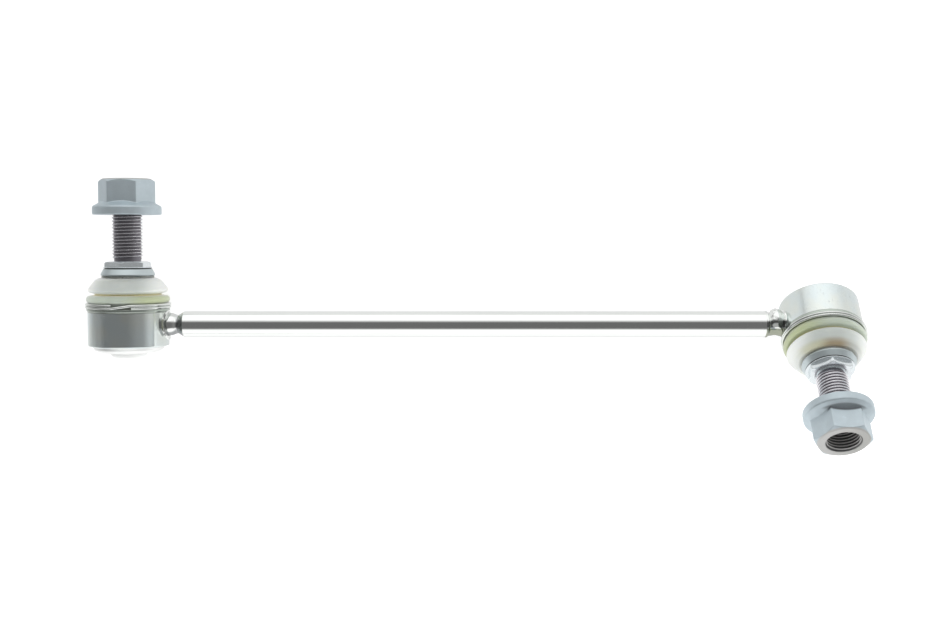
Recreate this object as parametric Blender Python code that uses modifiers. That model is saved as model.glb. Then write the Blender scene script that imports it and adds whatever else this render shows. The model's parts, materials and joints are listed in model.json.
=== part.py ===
"""Stabilizer link: a round steel bar with a sealed ball joint welded to each end.

The link lies on a table. The bar runs along X. The stud at end A points along +Y,
nearly level, and the stud at end B points along -Y and leans up.
Each ball joint is drawn in its own frame: the ball's centre is the origin, and +Z
runs along the stud, out of the housing. A profile is a list of (radius, height).
"""

import math

import bmesh
import bpy
from mathutils import Vector

MM = 0.001
COLLECTION_NAME = "stabilizer_link"
CUTTER_COLLECTION_NAME = "cutters"

# Link and posture
LINK_LENGTH = 267.0 * MM
STUD_LEAN_A = math.radians(3.5)
STUD_LEAN_B = math.radians(37.5)

# Clearances
GAP = 0.3 * MM
CUT_MARGIN = 2.0 * MM

# Smoothness of turned shapes and bent wires
TURN_STEPS = 28
WIRE_STEPS = 24
WIRE_RESOLUTION = 2
SHOULDER_POINTS = 4
WAVE_POINTS = 3
SHARP_ANGLE = math.radians(30)

# Bar, with its upset ball ends
ROD_DIAMETER = 10.0 * MM
ROD_BALL_DIAMETER = 8.8 * MM
ROD_BALL_OUTSIDE = 0.6 * MM
ROD_NECK_DIAMETER = 7.0 * MM
ROD_CHAMFER_LENGTH = 2.5 * MM
WELD_WIDTH = 1.3 * MM
WELD_HEIGHT = 1.1 * MM
WELD_TOP_WIDTH = 0.45 * MM

# Ball, its shell and the disc that loads it
BALL_DIAMETER = 16.0 * MM
BALL_FLAT_DIAMETER = 7.0 * MM
SHELL_WALL = 2.4 * MM
SHELL_MOUTH_ANGLE = math.radians(62)
SHELL_EDGE = 0.55 * MM
SHELL_SHOULDER_DROP = 1.7 * MM
SHELL_DEPTH = 6.0 * MM
SLOT_PAIRS = 2
SLOT_WIDTH = 1.2 * MM
SLOT_DEPTH = 2.0 * MM
SLOT_TURN = math.radians(22.5)
DISC_THICKNESS = 0.8 * MM
DISC_RISE = 0.35 * MM
DISC_HOLE_DIAMETER = 11.6 * MM

# Housing
HOUSING_WALL = 4.3 * MM
RIM_STEP = 0.4 * MM
RIM_TOP = 5.9 * MM
RIM_THICKNESS = 0.85 * MM
NECK_WALL = 1.6 * MM
NECK_HEIGHT = 2.3 * MM
NECK_LIP = 1.8 * MM
THROAT_STEP = 0.1 * MM
EDGE_CHAMFER = 0.4 * MM

# Cover and the lip rolled over it
CAP_LEDGE = 1.0 * MM
CAP_THICKNESS = 1.45 * MM
CAP_DOME_DIAMETER = 13.8 * MM
CAP_DOME_HEIGHT = 3.6 * MM
CAP_DOME_ROUND = 1.4 * MM
LIP_WALL = 1.2 * MM
LIP_THICKNESS = 1.5 * MM
LIP_OVERLAP = 2.7 * MM
LEDGE_TO_SHOULDER = 0.75 * MM

# Stud
SHANK_LENGTH = 18.8 * MM
NECK_DIAMETER = 9.4 * MM
NECK_END = 8.2 * MM
SHANK_DIAMETER = 10.8 * MM
SHANK_MIDDLE = 12.0 * MM
BOOT_SEAT_DIAMETER = 16.0 * MM
BOOT_SEAT_LENGTH = 2.0 * MM
CONE_OVERHANG = 0.1 * MM
CONE_EDGE = 0.4 * MM
CONE_END_DIAMETER = 18.6 * MM
CONE_HEIGHT = 3.2 * MM
COLLAR_ACROSS_FLATS = 15.4 * MM
COLLAR_THICKNESS = 2.1 * MM
THREAD_DIAMETER = 11.8 * MM
THREAD_LENGTH = 22.9 * MM
THREAD_CHAMFER = 1.0 * MM
RELIEF_DIAMETER = 10.2 * MM
RELIEF_LENGTH = 1.2 * MM
SEAT_RECESS = 0.4 * MM
COLLAR_TURN_A = math.radians(53.8)
COLLAR_TURN_B = math.radians(6.4)

# Nut
NUT_ACROSS_FLATS = 19.0 * MM
NUT_HEIGHT = 13.8 * MM
FLANGE_DIAMETER = 26.0 * MM
FLANGE_RIM = 3.2 * MM
FLANGE_CONE = 2.0 * MM
NUT_COUNTERSINK = 0.6 * MM
NUT_PLACE_A = 17.9 * MM
NUT_PLACE_B = 15.8 * MM
NUT_TURN_A = math.radians(32)
NUT_TURN_B = math.radians(30.0)
HEX_CHAMFER_ANGLE = math.radians(30)

# Boot: its folds and waist are measured from the bead's outer side
BEAD_THICKNESS = 2.0 * MM
BOOT_WALL = 1.1 * MM
BOOT_FOOT_RISE = 0.45 * MM
LOWER_FOLD_OUT = 0.85 * MM
WAIST_IN = 2.25 * MM
UPPER_FOLD_OUT = 0.05 * MM
BOOT_LIP_WALL = 0.75 * MM
BOOT_LIP_HEIGHT = 1.1 * MM

# Levels of the folds, as shares of the boot's height from the neck to the lip's shelf
LOWER_FOLD_LEVEL = 0.17
WAIST_LEVEL = 0.38
UPPER_FOLD_LEVEL = 0.59

# Wire rings of the boot
SPRING_WIRE = 1.0 * MM
SPRING_PITCH = 1.1 * MM
SPRING_WINDOW = math.radians(27)
SPRING_TURN_A = math.radians(-72.5)
SPRING_TURN_B = math.radians(-50)
UPPER_WIRE = 0.8 * MM
UPPER_RING_OPENING = math.radians(14)
UPPER_RING_TURN_A = math.radians(-48)
UPPER_RING_TURN_B = math.radians(57)

# Radii that follow from the ball outwards
BALL_R = BALL_DIAMETER / 2
CAVITY_R = BALL_R + GAP
SHELL_R = CAVITY_R + SHELL_WALL
BORE_R = SHELL_R + GAP
HOUSING_R = BORE_R + HOUSING_WALL
NECK_R = BORE_R + NECK_WALL
BEAD_OUTER_R = NECK_R + GAP + BEAD_THICKNESS
SPRING_R = BEAD_OUTER_R + GAP + SPRING_WIRE / 2
CAP_R = BORE_R + CAP_LEDGE
CAP_SEAT_R = CAP_R + GAP
THREAD_R = THREAD_DIAMETER / 2

# Heights that follow from the shell downwards
SHELL_TOP = CAVITY_R * math.cos(SHELL_MOUTH_ANGLE)
SHELL_MOUTH_R = CAVITY_R * math.sin(SHELL_MOUTH_ANGLE)
DISC_TOP = -SHELL_DEPTH - GAP
DISC_BOTTOM = DISC_TOP - DISC_THICKNESS - DISC_RISE
CAP_TOP = DISC_BOTTOM - GAP
CAP_BOTTOM = CAP_TOP - CAP_THICKNESS
LEDGE = CAP_TOP + GAP
HOUSING_BOTTOM = LEDGE - LEDGE_TO_SHOULDER
LIP_TOP = CAP_BOTTOM - GAP
LIP_BOTTOM = LIP_TOP - LIP_THICKNESS

# Heights that follow from the rim and the shank upwards
NECK_TOP = RIM_TOP + NECK_HEIGHT
RIM_UNDERSIDE = RIM_TOP - RIM_THICKNESS - RIM_STEP
BEAD_BOTTOM = RIM_TOP + GAP
CONE_TOP = SHANK_LENGTH + CONE_HEIGHT
COLLAR_SEAT = CONE_TOP + COLLAR_THICKNESS
STUD_END = COLLAR_SEAT + THREAD_LENGTH
LIP_R = BOOT_SEAT_DIAMETER / 2 + GAP
LIP_OUTER_R = LIP_R + BOOT_LIP_WALL
UPPER_RING_R = LIP_OUTER_R + GAP + UPPER_WIRE / 2
CONE_R = UPPER_RING_R + UPPER_WIRE / 2 + CONE_OVERHANG
UPPER_RING_HEIGHT = SHANK_LENGTH - GAP - UPPER_WIRE / 2
LIP_SHELF = UPPER_RING_HEIGHT - UPPER_WIRE / 2 - GAP

# What differs between the two ends. Side is the end's direction along X.
ENDS = (
    {
        "name": "a",
        "side": -1,
        "lean": STUD_LEAN_A,
        "collar_turn": COLLAR_TURN_A,
        "nut_turn": NUT_TURN_A,
        "nut_place": NUT_PLACE_A,
        "spring_turn": SPRING_TURN_A,
        "upper_turn": UPPER_RING_TURN_A,
    },
    {
        "name": "b",
        "side": 1,
        "lean": STUD_LEAN_B,
        "collar_turn": COLLAR_TURN_B,
        "nut_turn": NUT_TURN_B,
        "nut_place": NUT_PLACE_B,
        "spring_turn": SPRING_TURN_B,
        "upper_turn": UPPER_RING_TURN_B,
    },
)


def clear_scene():
    """Start from an empty scene."""
    for obj in list(bpy.data.objects):
        bpy.data.objects.remove(obj, do_unlink=True)


def new_collection(name):
    """A collection under the scene's own."""
    collection = bpy.data.collections.new(name)
    bpy.context.scene.collection.children.link(collection)
    return collection


def new_material(name, colour, roughness, metallic):
    """A plain finish for one kind of piece."""
    material = bpy.data.materials.new(name)
    material.use_nodes = True
    shader = material.node_tree.nodes["Principled BSDF"]
    shader.inputs["Base Color"].default_value = (*colour, 1.0)
    shader.inputs["Roughness"].default_value = roughness
    shader.inputs["Metallic"].default_value = metallic
    material.diffuse_color = (*colour, 1.0)
    return material


def finishes():
    """Every finish on the link, by name."""
    return {
        "bright_bar": new_material("bright_bar", (0.72, 0.73, 0.72), 0.15, 1.0),
        "zinc_housing": new_material("zinc_housing", (0.56, 0.58, 0.57), 0.32, 1.0),
        "bearing_plastic": new_material("bearing_plastic", (0.83, 0.82, 0.76), 0.45, 0.0),
        "spring_steel": new_material("spring_steel", (0.62, 0.63, 0.62), 0.25, 1.0),
        "stud_steel": new_material("stud_steel", (0.48, 0.52, 0.55), 0.35, 1.0),
        "boot_rubber": new_material("boot_rubber", (0.74, 0.77, 0.72), 0.4, 0.0),
        "nut_zinc": new_material("nut_zinc", (0.44, 0.49, 0.53), 0.42, 1.0),
        "weld_metal": new_material("weld_metal", (0.60, 0.60, 0.58), 0.3, 1.0),
    }


def place(obj, collection, parent, material=None):
    """Put an object in its collection, under its parent, with its finish."""
    collection.objects.link(obj)
    obj.parent = parent
    if material:
        obj.data.materials.append(material)
    return obj


def make_cutter(obj):
    """Mark a helper that only cuts or joins."""
    obj.hide_render = True
    obj.display_type = "WIRE"
    return obj


def settle(obj):
    """Apply an object's modifiers, shade its round faces smooth and keep its real edges sharp."""
    graph = bpy.context.evaluated_depsgraph_get()
    mesh = bpy.data.meshes.new_from_object(obj.evaluated_get(graph))
    obj.modifiers.clear()
    obj.data = mesh
    mesh.shade_smooth()
    mesh.set_sharp_from_angle(angle=SHARP_ANGLE)


def arc(centre, radius, start, end, count):
    """Points on an arc in the profile plane, with both ends, by angle from +radius."""
    return oval(centre, radius, radius, start, end, count)


def oval(centre, width, height, start, end, count):
    """Points on part of an oval in the profile plane, with both ends, by angle from +radius."""
    angles = [start + (end - start) * i / (count - 1) for i in range(count)]
    return [(centre[0] + width * math.cos(a), centre[1] + height * math.sin(a)) for a in angles]


def wave(first, last, count):
    """Points on the smooth half wave from one crest or trough to the next, without the first."""
    points = []
    for i in range(1, count + 1):
        share = (1 - math.cos(math.pi * i / count)) / 2
        height = first[1] + (last[1] - first[1]) * i / count
        points.append((first[0] + (last[0] - first[0]) * share, height))
    return points


def turned(name, profile, steps=TURN_STEPS, closed=True):
    """A turned solid about Z. The profile runs down its outer side, top to bottom."""
    shape = bmesh.new()
    corners = [shape.verts.new((radius, 0.0, height)) for radius, height in profile]
    for first, second in zip(corners, corners[1:]):
        shape.edges.new((first, second))
    if closed:
        shape.edges.new((corners[-1], corners[0]))
    mesh = bpy.data.meshes.new(name)
    shape.to_mesh(mesh)
    shape.free()
    obj = bpy.data.objects.new(name, mesh)
    screw = obj.modifiers.new("turn", "SCREW")
    screw.axis = "Z"
    screw.angle = math.tau
    screw.steps = steps
    screw.render_steps = steps
    screw.use_merge_vertices = True
    screw.merge_threshold = 0.001 * MM
    screw.use_smooth_shade = True
    return obj


def hexagon(name, across_flats, bottom, top, turn):
    """A hexagon prism about Z, with a flat's outward direction at the angle turn."""
    shape = bmesh.new()
    corner_r = across_flats / math.sqrt(3)
    bmesh.ops.create_cone(
        shape, cap_ends=True, segments=6, radius1=corner_r, radius2=corner_r, depth=top - bottom
    )
    bmesh.ops.translate(shape, verts=shape.verts, vec=(0, 0, (top + bottom) / 2))
    mesh = bpy.data.meshes.new(name)
    shape.to_mesh(mesh)
    shape.free()
    obj = bpy.data.objects.new(name, mesh)
    obj.rotation_euler.z = turn
    return obj


def box(name, size, centre):
    """A box by its size and its centre."""
    shape = bmesh.new()
    bmesh.ops.create_cube(shape, size=1.0)
    bmesh.ops.scale(shape, verts=shape.verts, vec=size)
    bmesh.ops.translate(shape, verts=shape.verts, vec=centre)
    mesh = bpy.data.meshes.new(name)
    shape.to_mesh(mesh)
    shape.free()
    return bpy.data.objects.new(name, mesh)


def wire(name, points, diameter):
    """A round wire along points, with filled ends."""
    curve = bpy.data.curves.new(name, "CURVE")
    curve.dimensions = "3D"
    curve.bevel_depth = diameter / 2
    curve.bevel_resolution = WIRE_RESOLUTION
    curve.use_fill_caps = True
    spline = curve.splines.new("POLY")
    spline.points.add(len(points) - 1)
    for point, place_of_point in zip(spline.points, points):
        point.co = (*place_of_point, 1.0)
    spline.use_smooth = True
    return bpy.data.objects.new(name, curve)


def boolean(obj, operation, other):
    """Cut, join or intersect obj with another mesh object."""
    modifier = obj.modifiers.new(other.name, "BOOLEAN")
    modifier.operation = operation
    modifier.solver = "EXACT"
    modifier.object = other
    return modifier


def chamfer_profile(across_flats, bottom, top):
    """The turned outline that takes the corners off a hexagon's top end, without its middle."""
    flat_r = across_flats / 2
    outer_r = across_flats / math.sqrt(3) + GAP
    drop = (outer_r - flat_r) * math.tan(HEX_CHAMFER_ANGLE)
    return [(flat_r, top), (outer_r, top - drop), (outer_r, bottom), (0, bottom)]


def shoulder_height(radius):
    """Height of the shell's sloping shoulder at a radius."""
    inner_r = SHELL_MOUTH_R + SHELL_EDGE
    return SHELL_TOP - SHELL_SHOULDER_DROP * (radius - inner_r) / (SHELL_R - inner_r)


def shoulder_gap():
    """The clearance over that shoulder, measured along the height."""
    slope = SHELL_SHOULDER_DROP / (SHELL_R - SHELL_MOUTH_R - SHELL_EDGE)
    return GAP * math.hypot(1, slope)


def housing_profile():
    """Cup wall: boot neck, rim, body and rolled lip outside, cap seat, bore and flare inside."""
    throat_r = SHELL_MOUTH_R + SHELL_EDGE + THROAT_STEP
    lip_r = CAP_R - LIP_OVERLAP
    roll_r = CAP_SEAT_R + LIP_WALL
    outside = [
        (NECK_R, NECK_TOP),
        (NECK_R, RIM_TOP),
        (HOUSING_R + RIM_STEP, RIM_TOP),
        (HOUSING_R + RIM_STEP, RIM_TOP - RIM_THICKNESS),
        (HOUSING_R, RIM_UNDERSIDE),
        (HOUSING_R, HOUSING_BOTTOM + EDGE_CHAMFER),
        (HOUSING_R - EDGE_CHAMFER, HOUSING_BOTTOM),
        (roll_r, HOUSING_BOTTOM - EDGE_CHAMFER),
    ]
    roll_height = HOUSING_BOTTOM - EDGE_CHAMFER - LIP_BOTTOM
    roll_centre = (lip_r, HOUSING_BOTTOM - EDGE_CHAMFER)
    roll = oval(roll_centre, roll_r - lip_r, roll_height, 0, -math.pi / 2, 5)[1:]
    inside = [
        (lip_r, LIP_TOP),
        (CAP_SEAT_R, LIP_TOP),
        (CAP_SEAT_R, LEDGE),
        (BORE_R, LEDGE),
        (BORE_R, shoulder_height(BORE_R) + shoulder_gap()),
        (throat_r, shoulder_height(throat_r) + shoulder_gap()),
        (NECK_R - NECK_LIP, NECK_TOP),
    ]
    return outside + roll + inside


def shell_profile():
    """Ball seat: a cup that holds the ball past its middle, open at both ends."""
    base_angle = math.acos(SHELL_DEPTH / CAVITY_R)
    cavity = arc((0, 0), CAVITY_R, base_angle - math.pi / 2, math.pi / 2 - SHELL_MOUTH_ANGLE, 7)
    return [
        (SHELL_MOUTH_R + SHELL_EDGE, SHELL_TOP),
        (SHELL_R, shoulder_height(SHELL_R)),
        (SHELL_R, -SHELL_DEPTH),
        *cavity,
    ]


def disc_profile():
    """Conical spring disc: its inner edge presses up and its outer edge rests on the cap."""
    hole_r = DISC_HOLE_DIAMETER / 2
    outer_r = BORE_R - GAP
    return [
        (hole_r, DISC_TOP),
        (outer_r, DISC_TOP - DISC_RISE),
        (outer_r, DISC_BOTTOM),
        (hole_r, DISC_BOTTOM + DISC_RISE),
    ]


def cap_profile():
    """Pressed cover: a flat edge under the rolled lip and a dome that clears the ball."""
    dome_r = CAP_DOME_DIAMETER / 2
    dome_bottom = CAP_BOTTOM - CAP_DOME_HEIGHT
    inner_r = dome_r - CAP_THICKNESS
    inner_bottom = dome_bottom + CAP_THICKNESS
    return [
        (0, inner_bottom),
        (inner_r, inner_bottom),
        (inner_r, CAP_TOP),
        (CAP_R, CAP_TOP),
        (CAP_R, CAP_BOTTOM),
        (dome_r, CAP_BOTTOM),
        *arc(
            (dome_r - CAP_DOME_ROUND, dome_bottom + CAP_DOME_ROUND),
            CAP_DOME_ROUND,
            0,
            -math.pi / 2,
            4,
        ),
        (0, dome_bottom),
    ]


def stud_profile():
    """Stud from its threaded end down to the flat under the ball."""
    neck_r = NECK_DIAMETER / 2
    flat_r = BALL_FLAT_DIAMETER / 2
    relief_r = RELIEF_DIAMETER / 2
    seat_r = BOOT_SEAT_DIAMETER / 2
    ball = arc(
        (0, 0), BALL_R, math.acos(neck_r / BALL_R), -math.acos(flat_r / BALL_R), 9
    )
    return [
        (0, STUD_END),
        (THREAD_R - THREAD_CHAMFER, STUD_END),
        (THREAD_R, STUD_END - THREAD_CHAMFER),
        (THREAD_R, COLLAR_SEAT + RELIEF_LENGTH),
        (relief_r, COLLAR_SEAT + RELIEF_LENGTH - (THREAD_R - relief_r)),
        (relief_r, CONE_TOP),
        (CONE_END_DIAMETER / 2, CONE_TOP),
        (CONE_R, SHANK_LENGTH + CONE_EDGE),
        (CONE_R, SHANK_LENGTH),
        (seat_r, SHANK_LENGTH),
        (seat_r, SHANK_LENGTH - BOOT_SEAT_LENGTH),
        (SHANK_DIAMETER / 2, SHANK_MIDDLE),
        (neck_r, NECK_END),
        *ball,
        (0, ball[-1][1]),
    ]


def boot_outline():
    """Outer side of the boot's folds, from the lip's shelf down to the top of the bead."""
    span = LIP_SHELF - NECK_TOP
    upper = (BEAD_OUTER_R + UPPER_FOLD_OUT, NECK_TOP + UPPER_FOLD_LEVEL * span)
    waist = (BEAD_OUTER_R - WAIST_IN, NECK_TOP + WAIST_LEVEL * span)
    lower = (BEAD_OUTER_R + LOWER_FOLD_OUT, NECK_TOP + LOWER_FOLD_LEVEL * span)
    shelf_r = UPPER_RING_R + UPPER_WIRE
    shoulder_size = (upper[0] - shelf_r, LIP_SHELF - upper[1])
    shoulder = oval((shelf_r, upper[1]), *shoulder_size, math.pi / 2, 0, SHOULDER_POINTS)
    foot = (BEAD_OUTER_R + GAP, NECK_TOP + BOOT_FOOT_RISE)
    return shoulder + wave(upper, waist, WAVE_POINTS) + wave(waist, lower, WAVE_POINTS) + [foot]


def inward(points, distance):
    """Points moved by a distance to the inner side of a line that runs down its outer side."""
    moved = []
    for i, (radius, height) in enumerate(points):
        before = points[max(i - 1, 0)]
        after = points[min(i + 1, len(points) - 1)]
        run = Vector((after[0] - before[0], after[1] - before[1])).normalized()
        moved.append((radius + run.y * distance, height - run.x * distance))
    return moved


def boot_profile():
    """Boot: lip on the stud, two folds and a bead on the housing's neck."""
    outline = boot_outline()
    inner = inward(outline, BOOT_WALL)
    crests_and_waist = inner[SHOULDER_POINTS - 1 :: WAVE_POINTS]
    lip_top = LIP_SHELF + BOOT_LIP_HEIGHT
    return [
        (LIP_OUTER_R, lip_top),
        (LIP_OUTER_R, LIP_SHELF),
        *outline,
        (BEAD_OUTER_R, NECK_TOP),
        (BEAD_OUTER_R, BEAD_BOTTOM),
        (NECK_R + GAP, BEAD_BOTTOM),
        (NECK_R + GAP, NECK_TOP + GAP),
        *reversed(crests_and_waist),
        inner[1],
        (LIP_R, LIP_SHELF - BOOT_WALL),
        (LIP_R, lip_top),
    ]


def spring_ring_points(turn):
    """Two flat turns of wire, one on the other. The wire steps up between its two cut ends."""
    bottom = RIM_TOP + GAP + SPRING_WIRE / 2
    total = 2 * math.tau - SPRING_WINDOW
    count = round(WIRE_STEPS * total / math.tau)
    points = []
    for i in range(count + 1):
        angle = total * i / count
        step = (angle - (math.tau - SPRING_WINDOW)) / SPRING_WINDOW
        step = min(max(step, 0.0), 1.0)
        level = bottom + SPRING_PITCH * (1 - math.cos(math.pi * step)) / 2
        around = angle + turn
        points.append((SPRING_R * math.cos(around), SPRING_R * math.sin(around), level))
    return points


def upper_ring_points(turn):
    """One open turn of thin wire."""
    total = math.tau - UPPER_RING_OPENING
    points = []
    for i in range(WIRE_STEPS + 1):
        around = turn + total * i / WIRE_STEPS
        points.append(
            (UPPER_RING_R * math.cos(around), UPPER_RING_R * math.sin(around), UPPER_RING_HEIGHT)
        )
    return points


def rod_half_profile():
    """Upset end of the bar, as (radius, distance from the bar's middle), inwards from the tip."""
    ball_r = ROD_BALL_DIAMETER / 2
    neck_r = ROD_NECK_DIAMETER / 2
    centre = LINK_LENGTH / 2 - HOUSING_R - ROD_BALL_OUTSIDE
    neck = centre - math.sqrt(ball_r**2 - neck_r**2)
    ball = arc((0, centre), ball_r, math.pi / 2, -math.acos(neck_r / ball_r), 8)
    chamfer_start = neck - GAP
    return ball + [
        (neck_r, chamfer_start),
        (ROD_DIAMETER / 2, chamfer_start - ROD_CHAMFER_LENGTH),
    ]


def weld_profile(side):
    """Collar of weld metal round the bar's ball end, before the housing's wall is cut from it."""
    inner_r = ROD_BALL_DIAMETER / 2 + GAP
    outer_r = inner_r + WELD_WIDTH
    wall = LINK_LENGTH / 2 - HOUSING_R
    deep = wall + CUT_MARGIN
    collar = [
        (inner_r, deep),
        (outer_r, deep),
        (outer_r, wall - 2 * GAP),
        (inner_r + WELD_TOP_WIDTH, wall - GAP - WELD_HEIGHT),
        (inner_r, wall - GAP - WELD_HEIGHT),
    ]
    if side > 0:
        return collar
    return [(radius, -height) for radius, height in reversed(collar)]


def build_housing_cutter(end, joint, cutters):
    """The room of the housing, its rim and its spring ring, which the bar and the weld keep clear."""
    reach = 2 * HOUSING_R
    wall_r = HOUSING_R + GAP
    rim_r = SPRING_R + SPRING_WIRE / 2 + GAP
    rim_height = RIM_UNDERSIDE - GAP
    profile = [
        (0, reach),
        (rim_r, reach),
        (rim_r, rim_height),
        (wall_r, rim_height),
        (wall_r, -reach),
        (0, -reach),
    ]
    cutter = turned("housing_room_" + end, profile, closed=False)
    return place(make_cutter(cutter), cutters, joint)


def build_rod(parts, cutters, root, rooms, finish):
    """The bar with both its upset ends, cut to lie against the housings."""
    half = rod_half_profile()
    profile = half + [(radius, -height) for radius, height in reversed(half)]
    rod = turned("tie_rod", profile, closed=False)
    rod.rotation_euler.y = math.pi / 2
    for room in rooms:
        boolean(rod, "DIFFERENCE", room)
    return place(rod, parts, root, finish["bright_bar"])


def build_weld(end, side, parts, root, room, finish):
    """The weld collar at one end of the bar."""
    weld = turned("weld_collar_" + end, weld_profile(side), steps=TURN_STEPS // 2)
    weld.rotation_euler.y = math.pi / 2
    boolean(weld, "DIFFERENCE", room)
    return place(weld, parts, root, finish["weld_metal"])


def build_shell(end, joint, parts, cutters, finish):
    """The ball seat, with slots that let it open over the ball."""
    shell = turned("bearing_shell_" + end, shell_profile())
    top = SHELL_TOP + CUT_MARGIN
    for i in range(SLOT_PAIRS):
        length = 2 * (SHELL_R + CUT_MARGIN)
        height = top + SLOT_DEPTH
        slot = box(
            f"shell_slot_{end}_{i}", (length, SLOT_WIDTH, height), (0, 0, top - height / 2)
        )
        slot.rotation_euler.z = SLOT_TURN + math.pi * i / SLOT_PAIRS
        place(make_cutter(slot), cutters, joint)
        boolean(shell, "DIFFERENCE", slot)
    return place(shell, parts, joint, finish["bearing_plastic"])


def build_stud(end, joint, turn, parts, cutters, finish):
    """Ball stud: a turned stud joined with its hexagon collar."""
    stud = turned("ball_stud_" + end, stud_profile(), closed=False)
    sunk = CONE_TOP - GAP
    collar = hexagon(
        "stud_collar_" + end, COLLAR_ACROSS_FLATS, sunk, COLLAR_SEAT + CUT_MARGIN, turn
    )
    recess = [
        (0, COLLAR_SEAT - SEAT_RECESS),
        (RELIEF_DIAMETER / 2, COLLAR_SEAT - SEAT_RECESS),
        (THREAD_R + GAP, COLLAR_SEAT),
    ]
    rest = chamfer_profile(COLLAR_ACROSS_FLATS, sunk - CUT_MARGIN, COLLAR_SEAT)
    outline = turned("stud_collar_outline_" + end, recess + rest, closed=False)
    place(make_cutter(outline), cutters, joint)
    place(make_cutter(collar), cutters, joint)
    boolean(collar, "INTERSECT", outline)
    boolean(stud, "UNION", collar)
    return place(stud, parts, joint, finish["stud_steel"])


def build_nut(end, joint, distance, turn, parts, cutters, finish):
    """Flange nut, drawn upwards from its bearing face."""
    top = NUT_HEIGHT + CUT_MARGIN
    nut = hexagon("flange_nut_" + end, NUT_ACROSS_FLATS, FLANGE_RIM / 2, top, turn)
    nut.location.z = COLLAR_SEAT + distance
    rim_r = FLANGE_DIAMETER / 2
    flange_top = FLANGE_RIM + FLANGE_CONE
    flange = turned(
        "nut_flange_" + end,
        [
            (0, flange_top),
            (NUT_ACROSS_FLATS / 2 - GAP, flange_top),
            (rim_r - GAP, FLANGE_RIM),
            (rim_r, FLANGE_RIM - GAP),
            (rim_r, EDGE_CHAMFER),
            (rim_r - EDGE_CHAMFER, 0),
            (0, 0),
        ],
        closed=False,
    )
    rest = chamfer_profile(NUT_ACROSS_FLATS, 0, NUT_HEIGHT)
    outline = turned("nut_outline_" + end, [(0, NUT_HEIGHT), *rest], closed=False)
    bore_r = THREAD_R + GAP
    mouth_r = bore_r + NUT_COUNTERSINK
    bore = turned(
        "nut_bore_" + end,
        [
            (0, top),
            (mouth_r + CUT_MARGIN, top),
            (bore_r, NUT_HEIGHT - NUT_COUNTERSINK),
            (bore_r, NUT_COUNTERSINK),
            (mouth_r + CUT_MARGIN, -CUT_MARGIN),
            (0, -CUT_MARGIN),
        ],
        closed=False,
    )
    place(nut, parts, joint, finish["nut_zinc"])
    for tool, operation in ((outline, "INTERSECT"), (flange, "UNION"), (bore, "DIFFERENCE")):
        place(make_cutter(tool), cutters, nut)
        boolean(nut, operation, tool)
    return nut


def build_joint(end, parts, cutters, root, finish):
    """One ball joint: its frame, its fixed pieces, its stud, boot and nut."""
    name = end["name"]
    joint = bpy.data.objects.new("joint_" + name, None)
    place(joint, parts, root)
    joint.location.x = end["side"] * LINK_LENGTH / 2
    joint.rotation_euler.x = end["side"] * (math.pi / 2 - end["lean"])
    simple = (
        ("housing_", housing_profile(), "zinc_housing"),
        ("preload_disc_", disc_profile(), "spring_steel"),
        ("boot_", boot_profile(), "boot_rubber"),
    )
    for stem, profile, finish_name in simple:
        place(turned(stem + name, profile), parts, joint, finish[finish_name])
    cap = turned("closing_cap_" + name, cap_profile(), closed=False)
    place(cap, parts, joint, finish["zinc_housing"])
    build_shell(name, joint, parts, cutters, finish)
    build_stud(name, joint, end["collar_turn"], parts, cutters, finish)
    build_nut(name, joint, end["nut_place"], end["nut_turn"], parts, cutters, finish)
    spring = wire("boot_spring_ring_" + name, spring_ring_points(end["spring_turn"]), SPRING_WIRE)
    place(spring, parts, joint, finish["spring_steel"])
    upper = wire("boot_upper_ring_" + name, upper_ring_points(end["upper_turn"]), UPPER_WIRE)
    place(upper, parts, joint, finish["spring_steel"])
    return joint


def rest_on_origin(root, parts):
    """Move the whole link so that its footprint is centred and its lowest point is at zero."""
    bpy.context.view_layer.update()
    graph = bpy.context.evaluated_depsgraph_get()
    corners = []
    for obj in parts.objects:
        if obj.type != "EMPTY":
            evaluated = obj.evaluated_get(graph)
            mesh = evaluated.to_mesh()
            corners += [evaluated.matrix_world @ vertex.co for vertex in mesh.vertices]
            evaluated.to_mesh_clear()
    low = [min(corner[i] for corner in corners) for i in range(3)]
    high = [max(corner[i] for corner in corners) for i in range(3)]
    root.location = (-(low[0] + high[0]) / 2, -(low[1] + high[1]) / 2, -low[2])
    bpy.context.view_layer.update()


def main():
    """Build the link."""
    clear_scene()
    parts = new_collection(COLLECTION_NAME)
    cutters = new_collection(CUTTER_COLLECTION_NAME)
    cutters.hide_render = True
    finish = finishes()
    root = bpy.data.objects.new("link", None)
    parts.objects.link(root)
    rooms = []
    for end in ENDS:
        joint = build_joint(end, parts, cutters, root, finish)
        room = build_housing_cutter(end["name"], joint, cutters)
        rooms.append(room)
        build_weld(end["name"], end["side"], parts, root, room, finish)
    build_rod(parts, cutters, root, rooms, finish)
    bpy.context.view_layer.update()
    for obj in parts.objects:
        if obj.type == "MESH":
            settle(obj)
    rest_on_origin(root, parts)


main()
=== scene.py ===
"""Looks of the stabilizer link: smooth turned pieces, cut threads, wires, boots, welds and finishes.

Every piece that belongs to a ball joint is drawn in that joint's own frame, where the
ball's centre is the origin and +Z runs along the stud, and is then put in its place. The
bar and its welds are drawn along +Z too, which is then turned along the bar.
The attribute named local keeps that drawing place, in millimetres, for the materials.
"""

import json
import math

import bmesh
import bpy
from bpy.props import FloatProperty, FloatVectorProperty, PointerProperty
from mathutils import Matrix, Vector, noise


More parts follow.
